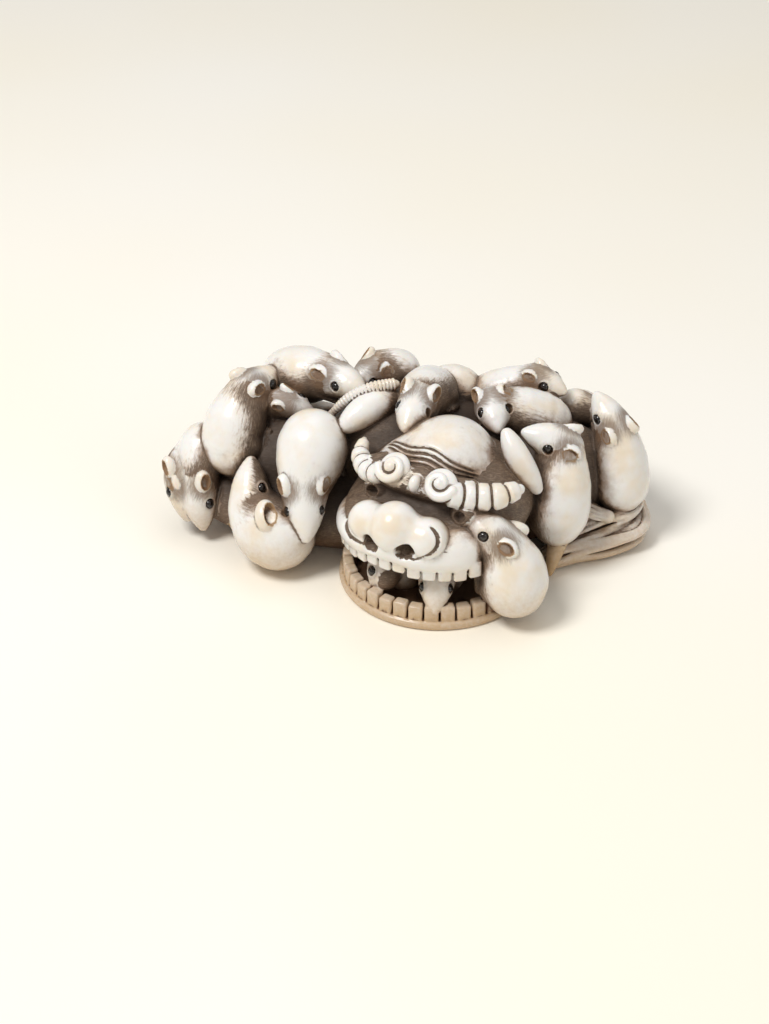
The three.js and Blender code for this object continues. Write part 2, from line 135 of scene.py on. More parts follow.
def chain(points, radii):
    # round-ended form along a line of points, as thick as radii says
    points = np.asarray(points, float)
    radii = np.asarray(radii, float)

    def far(x, y, z):
        whole = None
        for i in range(len(points) - 1):
            a = points[i]
            d = points[i + 1] - a
            length = float(np.dot(d, d)) + 1e-9
            h = np.clip(((x - a[0]) * d[0] + (y - a[1]) * d[1] + (z - a[2]) * d[2]) / length, 0, 1)
            gap = np.sqrt((x - a[0] - h * d[0]) ** 2 + (y - a[1] - h * d[1]) ** 2 + (z - a[2] - h * d[2]) ** 2)
            gap = gap - (radii[i] + h * (radii[i + 1] - radii[i]))
            whole = gap if whole is None else np.minimum(whole, gap)
        return whole
    reach = radii[:, None]
    return Form((points - reach).min(axis=0), (points + reach).max(axis=0), far)


def egg(centre, ahead, top, radii):
    # ellipsoid: half length, half width, half height along its own axes
    forward = unit(ahead)
    up = squareTo(top, forward)
    side = np.cross(forward, up)
    c = np.asarray(centre, float)
    length, width, height = radii

    def far(x, y, z):
        dx, dy, dz = x - c[0], y - c[1], z - c[2]
        p = (dx * forward[0] + dy * forward[1] + dz * forward[2]) / length
        q = (dx * side[0] + dy * side[1] + dz * side[2]) / width
        r = (dx * up[0] + dy * up[1] + dz * up[2]) / height
        k0 = np.sqrt(p * p + q * q + r * r) + 1e-9
        k1 = np.sqrt((p / length) ** 2 + (q / width) ** 2 + (r / height) ** 2) + 1e-9
        return k0 * (k0 - 1) / k1
    reach = np.sqrt((forward * length) ** 2 + (side * width) ** 2 + (up * height) ** 2)
    return Form(c - reach, c + reach, far)


class Block:
    # the block being carved, held as distances on a grid
    def __init__(self, low, high, step):
        self.low = np.asarray(low, float)
        self.step = step
        self.size = np.ceil((np.asarray(high) - self.low) / step).astype(int) + 1
        self.far = np.full(self.size, 1.5, np.float32)
        self.finishes = []

    def window(self, form, margin):
        first = np.maximum(np.floor((form.low - margin - self.low) / self.step).astype(int), 0)
        last = np.minimum(np.ceil((form.high + margin - self.low) / self.step).astype(int) + 1, self.size)
        axes = [(self.low[k] + self.step * np.arange(first[k], last[k])).astype(np.float32) for k in range(3)]
        place = tuple(slice(first[k], last[k]) for k in range(3))
        return place, axes[0][:, None, None], axes[1][None, :, None], axes[2][None, None, :]

    def add(self, form, blend, finish=None):
        if finish:
            self.finishes.append((form, finish))
        place, x, y, z = self.window(form, blend + 0.5)
        self.far[place] = softMin(self.far[place], form.far(x, y, z).astype(np.float32), blend)

    def cut(self, form, blend):
        place, x, y, z = self.window(form, blend + 0.5)
        self.far[place] = softMax(self.far[place], -form.far(x, y, z).astype(np.float32), blend)

    def press(self, form, depth):
        # sinks or raises the skin by depth(x, y, z) mm inside the form's box
        place, x, y, z = self.window(form, 0.2)
        self.far[place] += depth(x, y, z).astype(np.float32)


# back is the way the head's top faces, coat the way the polished part of the body faces, and cover how far
# round the stain climbs towards it. headCoat and headCover say the same of the head.
rats = [
    {"name": "rat_01", "rump": (-21.2, 8.4, 8.0), "belly": (-23.0, 6.2, 7.4), "nape": (-23.6, 4.7, 7.5),
     "nose": (-23.3, 2.0, 2.4), "girth": 2.1, "back": (0.1, -0.9, 0.3), "coat": (-0.7, -0.6, 0.4),
     "cover": 0.1, "ears": ("right",), "eyes": ("right",)},
    {"name": "rat_02", "rump": (-20.2, 7.6, 10.2), "belly": (-21.7, 5.4, 8.6), "nape": (-22.2, 3.2, 6.6),
     "nose": (-21.6, 1.1, 1.8), "girth": 2.7, "back": (-0.4, -0.8, 0.2), "coat": (-0.85, -0.4, 0.35),
     "cover": 0.25, "headCoat": (-0.6, -0.8, 0.1), "ears": ("left", "right"), "eyes": ("left", "right")},
    {"name": "rat_03", "rump": (-17.9, 4.2, 6.4), "belly": (-18.3, 5.0, 11.0), "nape": (-17.0, 6.8, 15.2),
     "nose": (-13.6, 10.2, 15.4), "girth": 3.4, "back": (-0.3, -0.6, 0.8), "coat": (-0.85, -0.5, 0.2),
     "cover": 0.12, "ears": ("left", "right"), "eyes": ("right",)},
    {"name": "rat_04", "rump": (-9.8, -2.4, 4.2), "belly": (-13.6, -3.4, 4.1), "nape": (-16.4, -1.9, 5.4),
     "nose": (-16.3, 1.1, 10.2), "girth": 3.9, "back": (-0.45, -0.9, 0.4), "coat": (-0.3, -0.9, -0.3),
     "cover": -0.15, "headCoat": (-0.9, -0.3, 0.2), "headCover": 0.15, "earLift": 2.1, "earSize": 1.4,
     "ears": ("right",), "eyes": ("right",)},
    {"name": "rat_05", "rump": (-9.8, 2.9, 15.2), "belly": (-9.9, 0.3, 12.4), "nape": (-10.8, -2.4, 9.5),
     "nose": (-10.5, -5.9, 5.1), "girth": 3.7, "back": (0.0, -0.8, 0.5), "coat": (-0.1, -0.75, 0.6),
     "cover": -0.25, "earLift": 0.4, "ears": ("left", "right"), "eyes": ("left", "right")},
    {"name": "rat_06", "rump": (-15.5, 8.9, 11.5), "belly": (-14.3, 7.6, 13.0), "nape": (-13.2, 6.5, 14.2),
     "nose": (-10.0, 5.4, 13.2), "girth": 1.9, "back": (-0.1, -0.6, 0.8), "coat": (0.3, -0.3, 0.9),
     "cover": 0.3, "ears": ("left", "right"), "eyes": ("left",)},
    {"name": "rat_07", "rump": (-15.0, 12.4, 12.8), "belly": (-11.9, 10.9, 14.6), "nape": (-8.2, 8.7, 16.0),
     "nose": (-4.7, 5.2, 15.8), "girth": 3.2, "back": (0.0, -0.3, 0.9), "coat": (-0.3, 0.1, 0.95),
     "cover": 0.12, "ears": ("left", "right"), "eyes": ("right",)},
    {"name": "rat_08", "rump": (0.8, 12.4, 13.2), "belly": (-1.3, 11.4, 14.8), "nape": (-3.3, 11.0, 15.8),
     "nose": (-6.1, 8.6, 14.2), "girth": 2.5, "back": (0.1, -0.5, 0.9), "coat": (0.3, 0.2, 0.9),
     "cover": 0.2, "ears": ("left", "right"), "eyes": ("left",)},
    {"name": "rat_09", "rump": (3.6, 9.6, 13.6), "belly": (2.0, 6.4, 15.1), "nape": (1.1, 2.9, 16.6),
     "nose": (-0.4, -1.7, 15.6), "girth": 2.9, "back": (0.0, -0.4, 0.9), "coat": (-0.35, -0.1, 0.9),
     "cover": 0.2, "ears": ("left", "right"), "eyes": ("right",), "emptyEyes": ("left",)},
    {"name": "rat_10", "rump": (7.4, 9.4, 12.2), "belly": (4.6, 9.6, 13.8), "nape": (1.8, 9.8, 12.4),
     "nose": (-0.4, 9.9, 8.4), "girth": 2.6, "back": (-0.6, 0.2, 0.7), "coat": (0.1, 0.1, 0.95),
     "cover": 0.1, "ears": (), "eyes": ()},
    {"name": "rat_11", "rump": (6.6, 9.9, 12.6), "belly": (9.6, 8.9, 13.8), "nape": (13.2, 8.8, 15.7),
     "nose": (16.3, 6.7, 15.0), "girth": 2.4, "back": (0.1, -0.3, 0.9), "coat": (-0.3, 0.0, 0.95),
     "cover": 0.05, "ears": ("left", "right"), "eyes": ("left", "right")},
    {"name": "rat_12", "rump": (16.8, 5.9, 11.2), "belly": (13.4, 5.4, 12.9), "nape": (8.4, 5.0, 15.0),
     "nose": (9.1, 0.8, 14.0), "girth": 2.8, "back": (0.0, -0.5, 0.9), "coat": (0.75, -0.2, 0.7),
     "cover": 0.35, "ears": ("left", "right"), "eyes": ("left", "right")},
    {"name": "rat_13", "rump": (15.1, -4.4, 3.4), "belly": (15.3, -2.8, 8.0), "nape": (16.2, -0.6, 13.0),
     "nose": (11.7, -0.9, 14.8), "girth": 3.4, "back": (0.2, -0.5, 0.9), "coat": (0.6, -0.75, 0.1),
     "cover": 0.0, "ears": ("left", "right"), "eyes": ("left",)},
    {"name": "rat_14", "rump": (22.4, 2.0, 3.2), "belly": (22.1, 2.9, 7.6), "nape": (21.8, 3.5, 12.0),
     "nose": (19.5, 5.9, 15.2), "girth": 3.2, "back": (0.3, -0.9, 0.3), "coat": (0.5, -0.85, 0.1),
     "cover": -0.35, "ears": ("left", "right"), "eyes": ("left",)},
    {"name": "rat_15", "rump": (9.6, -13.4, 1.2), "belly": (10.5, -12.6, 4.8), "nape": (9.6, -12.0, 8.5),
     "nose": (5.2, -10.7, 11.5), "girth": 3.4, "back": (0.5, -0.3, 0.8), "coat": (0.5, -0.8, 0.1),
     "cover": -0.25, "ears": ("left", "right"), "eyes": ("left",)},
    {"name": "rat_16", "rump": (0.8, -5.2, 2.2), "belly": (-0.4, -7.3, 2.0), "nape": (-2.5, -8.6, 4.9),
     "nose": (-3.5, -10.2, 2.0), "girth": 1.9, "back": (0.3, -0.9, 0.3), "coat": (-0.5, -0.7, 0.5),
     "cover": 0.0, "ears": (), "eyes": ("right",)},
    {"name": "rat_17", "rump": (3.8, -6.0, 2.4), "belly": (3.5, -8.8, 2.9), "nape": (2.8, -10.7, 5.0),
     "nose": (2.5, -14.2, 2.1), "girth": 2.2, "back": (0.0, -0.5, 0.9), "coat": (0, -0.8, 0.6),
     "cover": -0.1, "ears": (), "eyes": ("left", "right")},
    {"name": "rat_18", "rump": (15.9, 9.3, 11.0), "belly": (17.2, 9.0, 11.8), "nape": (18.6, 8.8, 11.8),
     "nose": (22.0, 8.4, 10.6), "girth": 2.1, "back": (0.0, -0.2, 1.0), "coat": (0, -0.1, 1.0),
     "cover": 0.1, "ears": ("left",), "eyes": ("left",)},
    {"name": "rat_19", "rump": (-20.0, 9.6, 5.6), "belly": (-16.8, 11.7, 6.4), "nape": (-12.4, 12.4, 7.8),
     "nose": (-7.8, 12.6, 9.4), "girth": 3.3, "back": (0.0, 0.8, 0.6), "coat": (-0.2, 0.7, 0.7),
     "cover": 0.0, "ears": ("left",), "eyes": ("left",)},
    {"name": "rat_20", "rump": (7.0, 12.0, 9.0), "belly": (3.0, 12.6, 8.4), "nape": (-1.6, 12.5, 6.8),
     "nose": (-5.2, 13.2, 3.6), "girth": 3.2, "back": (0.0, 0.9, 0.5), "coat": (0, 0.8, 0.6),
     "cover": 0.0, "ears": ("left",), "eyes": ("right", "left")},
    {"name": "rat_21", "rump": (10.6, 10.8, 4.4), "belly": (14.6, 10.4, 5.8), "nape": (18.8, 8.9, 7.8),
     "nose": (22.6, 7.2, 10.2), "girth": 3.3, "back": (0.2, 0.9, 0.4), "coat": (0.2, 0.8, 0.5),
     "cover": 0.0, "ears": ("left",), "eyes": ("right",)},
]

bodyProfile = np.array([[0, 0.42], [0.1, 0.66], [0.22, 0.88], [0.4, 1], [0.6, 0.96], [0.8, 0.8], [0.94, 0.62],
                        [1, 0.5]])
headProfile = np.array([[0, 0.2], [0.14, 0.32], [0.3, 0.385], [0.42, 0.385], [0.58, 0.351], [0.74, 0.275],
                        [0.9, 0.17], [1, 0.09]])
sideways = {"left": -1.0, "right": 1.0}

# in girths of the body, but the cheek in lengths of the head, and neckBlend and pawRadius in mm
ratCarving = {
    "neckBlend": 0.8,               # how softly the head runs into the body
    "headEnds": (0.2, 0.965),       # where the head's rounded form starts and stops
    "haunch": 0.5,
    "haunchAt": (0.62, 0.3, 0.1),   # beside, below and behind the hip
    "kneeAt": (0.8, 0.72),          # beside and below the hip
    "hindPaw": (0.2, 0.42),         # from behind the knee to ahead of it
    "shoulderAt": (0.55, 0.35),
    "handAt": (0.34, 0.72),
    "pawRadius": 0.36,
    "cheekAt": (0.4, 105),          # along the head, and degrees from its back
    "cheekSunk": 0.16,
    "cheek": (0.2, 0.15, 0.15),
}

earCup = {
    "radius": 1.3, "at": 0.22, "fromBack": 50.0,
    "out": 0.1, "behind": 0.15,                 # where the cup stands on the head, in radii
    "shell": (0.55, 0.68, 0.92),
    "bowl": (0.62, 0.42, 0.62), "bowlOut": 0.4,
}

eyeBead = {
    "radius": 0.52, "sunk": 0.28, "at": 0.58, "fromBack": 66.0,
    "clearance": 0.02, "emptySocket": 0.5, "socketDepth": 0.35,
    "lid": (0.58, 0.8, 0.8), "lidSunk": 0.15, "lidTop": (0.31, 0.22, 0.92),
}


def profileAt(profile, t):
    return np.interp(t, profile[:, 0], profile[:, 1])


def headLine(rat):
    nape, nose = np.array(rat["nape"]), np.array(rat["nose"])
    length = np.linalg.norm(nose - nape)
    start = nape - 0.2 * (nose - nape)
    return start, nose, length


def onHead(rat, t, fromBack, way):
    # a place on the head's skin, the way out of it, the way to the nose and the way across
    start, nose, length = headLine(rat)
    forward = unit(nose - start)
    up = squareTo(rat["back"], forward)
    side = np.cross(forward, up)
    turn = math.radians(fromBack) * way
    out = up * math.cos(turn) + side * math.sin(turn)
    centre = start + (nose - start) * t
    return centre + out * length * profileAt(headProfile, t), out, forward, side


def ratHead(rat):
    start, nose, length = headLine(rat)
    t = np.linspace(*ratCarving["headEnds"], 10)
    return chain(start + (nose - start) * t[:, None], length * profileAt(headProfile, t))


def ratBody(rat):
    nape, nose = np.array(rat["nape"], float), np.array(rat["nose"], float)
    shoulder = nape + 0.12 * (nose - nape)
    line = smoothLine([rat["rump"], rat["belly"], shoulder], 41)
    run = np.concatenate([[0], np.cumsum(np.linalg.norm(np.diff(line, axis=0), axis=1))])
    girth = rat["girth"]
    places = np.linspace(0.55 * girth, run[-1], 11)
    centres = np.stack([np.interp(places, run, line[:, k]) for k in range(3)], axis=1)
    radii = np.minimum(girth * profileAt(bodyProfile, places / run[-1]), places * 1.02)
    return centres, radii


def ratFrame(rat):
    centres, radii = ratBody(rat)
    forward = unit(centres[-1] - centres[0])
    up = squareTo(rat["coat"], forward)
    return centres, radii, forward, up, np.cross(forward, up)


def ratEar(rat, whichSide):
    # a thick rolled rim round a bowl that opens forward and outward
    way = sideways[whichSide]
    surface, out, forward, side = onHead(rat, earCup["at"], earCup["fromBack"], way)
    length = headLine(rat)[2]
    r = earCup["radius"] * min(1.0, length / 5) * rat.get("earSize", 1.0)
    facing = unit(out * 0.75 + forward * 0.3 + side * 0.6 * way)
    top = squareTo(out * 0.5 - forward, facing)
    centre = surface + out * (earCup["out"] * r + rat.get("earLift", 0.0)) - forward * earCup["behind"] * r
    shell = egg(centre, facing, top, [share * r for share in earCup["shell"]])
    bowl = egg(centre + facing * earCup["bowlOut"] * r, facing, top, [share * r for share in earCup["bowl"]])
    return without(shell, bowl, 0.12), bowl


def eyeCentre(rat, whichSide):
    surface, out, _, _ = onHead(rat, eyeBead["at"], eyeBead["fromBack"], sideways[whichSide])
    return surface - out * eyeBead["sunk"], out


def paw(root, tip, radius, side):
    # a short limb ending in three toes
    forms = [chain([root, root * 0.4 + tip * 0.6, tip], [radius * 1.25, radius, radius * 0.9])]
    forward = unit(tip - root)
    for k in (-1, 0, 1):
        toe = tip + forward * radius * 0.9 + side * k * radius * 0.75
        forms.append(chain([tip + side * k * radius * 0.5, toe], [radius * 0.55, radius * 0.34]))
    return joined(forms, 0.08)


def ratForm(rat):
    centres, radii, forward, up, side = ratFrame(rat)
    body = chain(centres, radii)
    length = headLine(rat)[2]
    girth = rat["girth"]
    hip = centres[3]
    size = ratCarving["haunch"] * girth
    pawSize = ratCarving["pawRadius"] * min(1.15, girth / 3.0)
    back, ahead = ratCarving["hindPaw"]
    besideHip, belowHip, behindHip = ratCarving["haunchAt"]

    def beside(centre, way, across, below):
        return centre + side * way * across * girth - up * below * girth
    haunches, limbs, cheeks = [], [], []
    for way in (-1, 1):
        place = beside(hip, way, besideHip, belowHip) - forward * behindHip * girth
        haunches.append(egg(place, forward + up * 0.5, side, (size, size * 0.78, size * 0.8)))
        knee = beside(hip, way, *ratCarving["kneeAt"])
        limbs.append(paw(knee - forward * back * girth, knee + forward * ahead * girth, pawSize * 1.1, side))
        shoulder = beside(centres[-3], way, *ratCarving["shoulderAt"])
        limbs.append(paw(shoulder, beside(centres[-1], way, *ratCarving["handAt"]), pawSize, side))
        surface, out, toNose, _ = onHead(rat, *ratCarving["cheekAt"], way)
        cheeks.append(egg(surface - out * ratCarving["cheekSunk"] * length, toNose, out,
                          [share * length for share in ratCarving["cheek"]]))
    whole = joined([body] + haunches, 0.25)
    skull = joined([ratHead(rat)] + cheeks, 0.5)
    low = np.min([body.low, skull.low], axis=0) - 1.5
    high = np.max([body.high, skull.high], axis=0) + 1.5

    def far(x, y, z):
        d = softMin(whole.far(x, y, z), skull.far(x, y, z), ratCarving["neckBlend"])
        for limb in limbs:
            d = softMin(d, limb.far(x, y, z), 0.15)
        return d
    return Form(low, high, far)


# the mask is laid out round the jaw: across to its left or right, ahead the way it looks, and height
jaw = {"x": 2.9, "y": -4.7, "yaw": 29.0, "radius": 10.1, "rim": 0.9, "floor": 0.7, "hollow": 8.5}
yaw = math.radians(jaw["yaw"])
cosYaw, sinYaw = math.cos(yaw), math.sin(yaw)

# each an egg: its middle, its half sizes, and the way it lies if not level
maskShape = {
    "skull": ((0, -2.0, 9.2), (8.2, 9.0, 5.8)),
    "muzzle": ((0, 1.0, 9.0), (9.2, 8.8, 3.0)),
    "dome": ((0.1, -1.5, 12.0), (6.0, 5.2, 5.4)),
    "lobe": ((-2.9, 0.7, 12.3), (3.8, 3.6, 3.0)),
    "browRidge": ((0, 3.2, 13.5), (2.5, 7.0, 1.7)),
    "mouth": ((0, 1.6, 3.8), (9.6, 8.4, 2.9)),
    "lipPanel": ((5.2, 6.2, 8.5), (2.0, 2.9, 2.3), (0.64, 0.77, 0.3)),
    "nose": ((-0.3, 8.5, 10.8), (2.6, 2.5, 2.55), (0, 1, 0.2)),
    "leftWing": ((-3.6, 7.9, 10.2), (2.2, 2.0, 1.95), (0, 1, 0.2)),
    "rightWing": ((3.0, 7.8, 10.1), (2.3, 2.15, 2.1), (0, 1, 0.2)),
    "leftNostril": ((-2.15, 9.5, 9.3), (2.6, 1.0, 0.85), (0.1, -1, 0.5)),
    "rightNostril": ((1.65, 9.7, 9.6), (2.6, 1.0, 0.85), (0.1, -1, 0.5)),
    "leftEye": ((-4.6, 4.2, 11.6), (1.5, 1.45, 1.3), (0, 1, 0.2)),
    "rightEye": ((5.2, 4.2, 11.6), (1.5, 1.45, 1.3), (0, 1, 0.2)),
    "leftPupil": ((-4.6, 5.8, 12.0), (1.5, 0.66, 0.62), (0, 1, 0.3)),
    "rightPupil": ((5.2, 5.8, 12.0), (1.5, 0.66, 0.62), (0, 1, 0.3)),
    "browKnot": ((0.2, 5.3, 14.2), (0.9, 0.6, 0.9), (0, 0.7, 0.7)),
}

# lines cut where the nose meets the lip
noseGrooves = {
    "thick": 0.3,
    "lines": [
        [(3.7, 8.4, 12.0), (4.5, 8.6, 11.4), (4.8, 9.0, 10.6), (4.6, 9.4, 10.0), (3.9, 9.8, 9.3),
         (2.9, 9.9, 8.8), (1.8, 10.3, 8.8)],
        [(-6.2, 7.2, 9.8), (-6.5, 7.5, 8.8), (-5.4, 8.9, 8.4), (-4.2, 9.6, 8.5), (-3.2, 10.0, 8.7)],
    ],
}

maskEars = [
    {"line": [(-6.6, 1.0, 14.4), (-4.2, 2.6, 15.4), (-1.0, 5.0, 15.4)], "thick": 1.7},
    {"line": [(9.8, -3.2, 16.0), (11.0, -4.6, 13.8), (12.8, -5.4, 11.0)], "thick": 1.35},
]

upperLip = {
    "ring": 8.95, "start": -84.0, "end": 46.0, "thick": 1.55, "count": 40,
    "turns": (-84, -60, -33, -14, 1, 14, 30, 45),             # degrees round the jaw
    "heights": (6.9, 7.1, 7.7, 8.6, 8.7, 8.2, 8.0, 7.8),      # the lip's middle
    "toothEdge": (4.9, 5.1, 5.6, 6.2, 6.45, 6.1, 5.9, 5.9),   # the upper teeth's lower edge
}
lowerTeeth = {"count": 18, "arc": 178.0, "ring": 9.15, "width": 1.4, "depth": 1.15, "bottom": 0.6, "top": 2.55,
              "followsLip": False}
upperTeeth = {"count": 17, "arc": 156.0, "ring": 9.35, "width": 1.28, "depth": 1.2, "bottom": 6.3, "top": 8.2,
              "followsLip": True}
toothShape = {"rounding": 0.24, "unevenness": 0.08}


def onMask(across, ahead, height):
    return np.array([jaw["x"] + across * cosYaw - ahead * sinYaw, jaw["y"] - across * sinYaw - ahead * cosYaw,
                     height])


def maskWay(across, ahead, rise):
    return np.array([across * cosYaw - ahead * sinYaw, -across * sinYaw - ahead * cosYaw, rise])


def inMask(x, y):
    dx, dy = x - jaw["x"], y - jaw["y"]
    return dx * cosYaw - dy * sinYaw, -dx * sinYaw - dy * cosYaw


def maskEgg(name):
    place, radii, *way = maskShape[name]
    return egg(onMask(*place), maskWay(*(way[0] if way else (0, 1, 0))), (0, 0, 1), radii)


def maskEggs(names, blend):
    return joined([maskEgg(name) for name in names], blend)


def maskLip():
    points, radii = [], []
    ring, count = upperLip["ring"], upperLip["count"]
    for i in range(count + 1):
        t = i / count
        turn = math.radians(upperLip["start"] + (upperLip["end"] - upperLip["start"]) * t)
        height = float(np.interp(math.degrees(turn), upperLip["turns"], upperLip["heights"]))
        points.append(onMask(ring * math.sin(turn), ring * math.cos(turn), height))
        radii.append(upperLip["thick"] * math.sin(math.pi * (0.06 + 0.88 * t)) ** 0.3)
    return joined([chain(points, radii), maskEgg("lipPanel")], 0.5)


def toothRow(row):
    # one form for the whole row: rounded blocks side by side round the jaw
    halfWidth, halfDepth = row["width"] / 2, row["depth"] / 2
    halfArc = math.radians(row["arc"]) / 2
    pitch = 2 * halfArc / row["count"]
    mid, half = (row["bottom"] + row["top"]) / 2, (row["top"] - row["bottom"]) / 2
    rounding = toothShape["rounding"]

    def far(x, y, z):
        across, ahead = inMask(x, y)
        turn = np.arctan2(across, ahead)
        ring = np.sqrt(across ** 2 + ahead ** 2)
        index = np.clip(np.round(turn / pitch - 0.5), -row["count"] / 2, row["count"] / 2 - 1) + 0.5
        local = (turn - index * pitch) * row["ring"]
        raised = toothShape["unevenness"] * np.sin(index * 3.7)
        if row["followsLip"]:
            edge = np.interp(np.degrees(index * pitch), upperLip["turns"], upperLip["toothEdge"])
            raised = raised + edge - row["bottom"]
        qx = np.abs(local) - (halfWidth - rounding)
        qy = np.abs(ring - row["ring"]) - (halfDepth - rounding)
        qz = np.abs(z - mid - raised) - (half - rounding)
        outside = np.sqrt(np.maximum(qx, 0) ** 2 + np.maximum(qy, 0) ** 2 + np.maximum(qz, 0) ** 2)
        return outside + np.minimum(np.maximum(qx, np.maximum(qy, qz)), 0) - rounding
    reach = row["ring"] + halfDepth + 0.2
    centre = np.array([jaw["x"], jaw["y"], mid])
    return Form(centre - (reach, reach, half + 1.6), centre + (reach, reach, half + 0.6), far)


def disc(radius, bottom, top, rounding):
    def far(x, y, z):
        qr = np.sqrt((x - jaw["x"]) ** 2 + (y - jaw["y"]) ** 2) - (radius - rounding)
        qz = np.abs(z - (bottom + top) / 2) - ((top - bottom) / 2 - rounding)
        outside = np.sqrt(np.maximum(qr, 0) ** 2 + np.maximum(qz, 0) ** 2)
        return outside + np.minimum(np.maximum(qr, qz), 0) - rounding
    centre = np.array([jaw["x"], jaw["y"], (bottom + top) / 2])
    reach = np.array([radius, radius, (top - bottom) / 2])
    return Form(centre - reach, centre + reach, far)


browCarving = {
    "coilOuter": 1.5, "coilInner": 0.14,        # radius of the coil's middle line
    "coilThick": 0.5, "coilThin": 0.3,
    "coilFrom": -15, "turn": 470.0,             # degrees
    "coilRise": 0.3,                            # how far the coil's middle stands out
    "knob": 0.5, "knobOut": 0.35,
    "bed": (0.9, 1.7, 1.7), "bedSunk": 0.6,
    "centres": {-1: (-2.6, 4.9, 15.0), 1: (2.85, 5.2, 14.9)},
    "tails": {-1: [(-3.7, 5.1, 13.9), (-5.6, 4.3, 13.3), (-7.6, 2.4, 13.5), (-8.2, 0.6, 14.1)],
              1: [(3.6, 5.1, 13.9), (5.7, 3.4, 13.3), (7.6, 2.3, 13.3), (9.2, 0.3, 13.5)]},
    "tailRadii": {-1: [0.95, 1.1, 1.0, 0.55], 1: [1.2, 1.45, 1.35, 0.85]},
    "bands": 5.0, "bandDepth": 0.36, "bandShare": 0.38,
}


def browScroll(way):
    # a roll that winds in on itself round a knob
    centre = onMask(*browCarving["centres"][way])
    facing = unit(maskWay(0.1 * way, 0.72, 0.68))
    up = squareTo((0, 0, 1), facing)
    outward = -np.cross(facing, up) * way
    line, radii = [], []
    for q in np.linspace(0, 1, 44):
        turn = math.radians(browCarving["coilFrom"] - browCarving["turn"] * q)
        reach = browCarving["coilOuter"] + (browCarving["coilInner"] - browCarving["coilOuter"]) * q ** 0.9
        line.append(centre + outward * reach * math.cos(turn) + up * reach * math.sin(turn)
                    + facing * browCarving["coilRise"] * q)
        radii.append(browCarving["coilThick"] + (browCarving["coilThin"] - browCarving["coilThick"]) * q)
    knob = egg(centre + facing * browCarving["knobOut"], facing, up, [browCarving["knob"]] * 3)
    bed = egg(centre - facing * browCarving["bedSunk"], facing, up, browCarving["bed"])
    return joined([chain(line, radii), knob, bed], 0.04)


def bandedRoll(points, radii, bands, depth, share=0.22, count=60):
    # a roll cut by rings, such as a brow's tail or a rat's tail
    line = smoothLine(points, count)
    swell = np.interp(np.linspace(0, 1, count), np.linspace(0, 1, len(radii)), radii)
    outline = chain(line, swell)

    def far(x, y, z):
        whole = outline.far(x, y, z)
        nearest = np.full(np.shape(whole), 1e6)
        run = np.zeros(np.shape(whole))
        for i in range(count - 1):
            a, d = line[i], line[i + 1] - line[i]
            h = np.clip(((x - a[0]) * d[0] + (y - a[1]) * d[1] + (z - a[2]) * d[2]) / float(np.dot(d, d)), 0, 1)
            gap = (x - a[0] - h * d[0]) ** 2 + (y - a[1] - h * d[1]) ** 2 + (z - a[2] - h * d[2]) ** 2
            closer = gap < nearest
            nearest = np.where(closer, gap, nearest)
            run = np.where(closer, (i + h) / (count - 1), run)
        ring = np.abs((run * bands) % 1 - 0.5) * 2      # 1 at the grooves
        cut = np.clip((ring - (1 - share)) / share, 0, 1)
        return whole + depth * cut * np.interp(run, np.linspace(0, 1, len(radii)), radii)
    return Form(outline.low, outline.high, far)


def browTail(way):
    points = [onMask(*point) for point in browCarving["tails"][way]]
    return bandedRoll(points, browCarving["tailRadii"][way], browCarving["bands"], browCarving["bandDepth"],
                      browCarving["bandShare"], 36)


# wavy lines across the forehead: steepness, depth and reach to each side
browLines = {
    "lines": ((31, 0.4, -3.0, 4.6), (37, 0.42, -5.4, 5.0), (43, 0.38, -5.8, 5.2), (49.5, 0.32, -5.8, 4.8)),
    "width": 1.7, "wave": 2.4, "waveRate": 1.15, "waveShift": 0.4, "slant": 0.75,
    "area": ((0, 2, 15), (6.5, 6.5, 4.0)),
}


def wrinkles(x, y, z):
    across, ahead = inMask(x, y)
    rise = np.degrees(np.arctan2(z - 12.0, ahead + 1.5))
    wave = browLines["wave"] * np.cos(across * browLines["waveRate"] - browLines["waveShift"])
    bend = rise - wave + browLines["slant"] * across
    depth = 0.0
    for line, cut, left, right in browLines["lines"]:
        mark = cut * np.exp(-((bend - line) / browLines["width"]) ** 2)
        depth = depth + mark * np.clip((across - left) / 0.8, 0, 1) * np.clip((right - across) / 0.8, 0, 1)
    return depth * (ahead > -1.0) * (z > 12.5)


def maskEar(ear):
    t = np.linspace(0.0, 1.0, 18)
    return chain(smoothLine(ear["line"], 18), ear["thick"] * np.sin(math.pi * (0.1 + 0.8 * t)) ** 0.6)


clothRolls = [
    {"line": [(12.8, -4.4, 0.8), (17.0, -1.9, 1.1), (20.8, -0.7, 1.4), (23.6, 0.8, 1.8), (24.2, 5.0, 2.4)],
     "width": 2.2, "height": 1.45, "strands": 15, "seed": 3, "blend": 0.08},
    {"line": [(16.2, -1.2, 2.6), (19.7, 0.4, 3.0), (22.8, 2.0, 3.4), (24.0, 5.6, 4.0)],
     "width": 1.9, "height": 1.25, "strands": 13, "seed": 5, "blend": 0.12},
    {"line": [(16.0, 1.1, 8.4), (17.2, 0.5, 6.4), (18.3, 0.0, 5.0), (20.8, -0.5, 4.2)],
     "width": 1.2, "height": 1.0, "strands": 9, "seed": 8, "blend": 0.12},
]


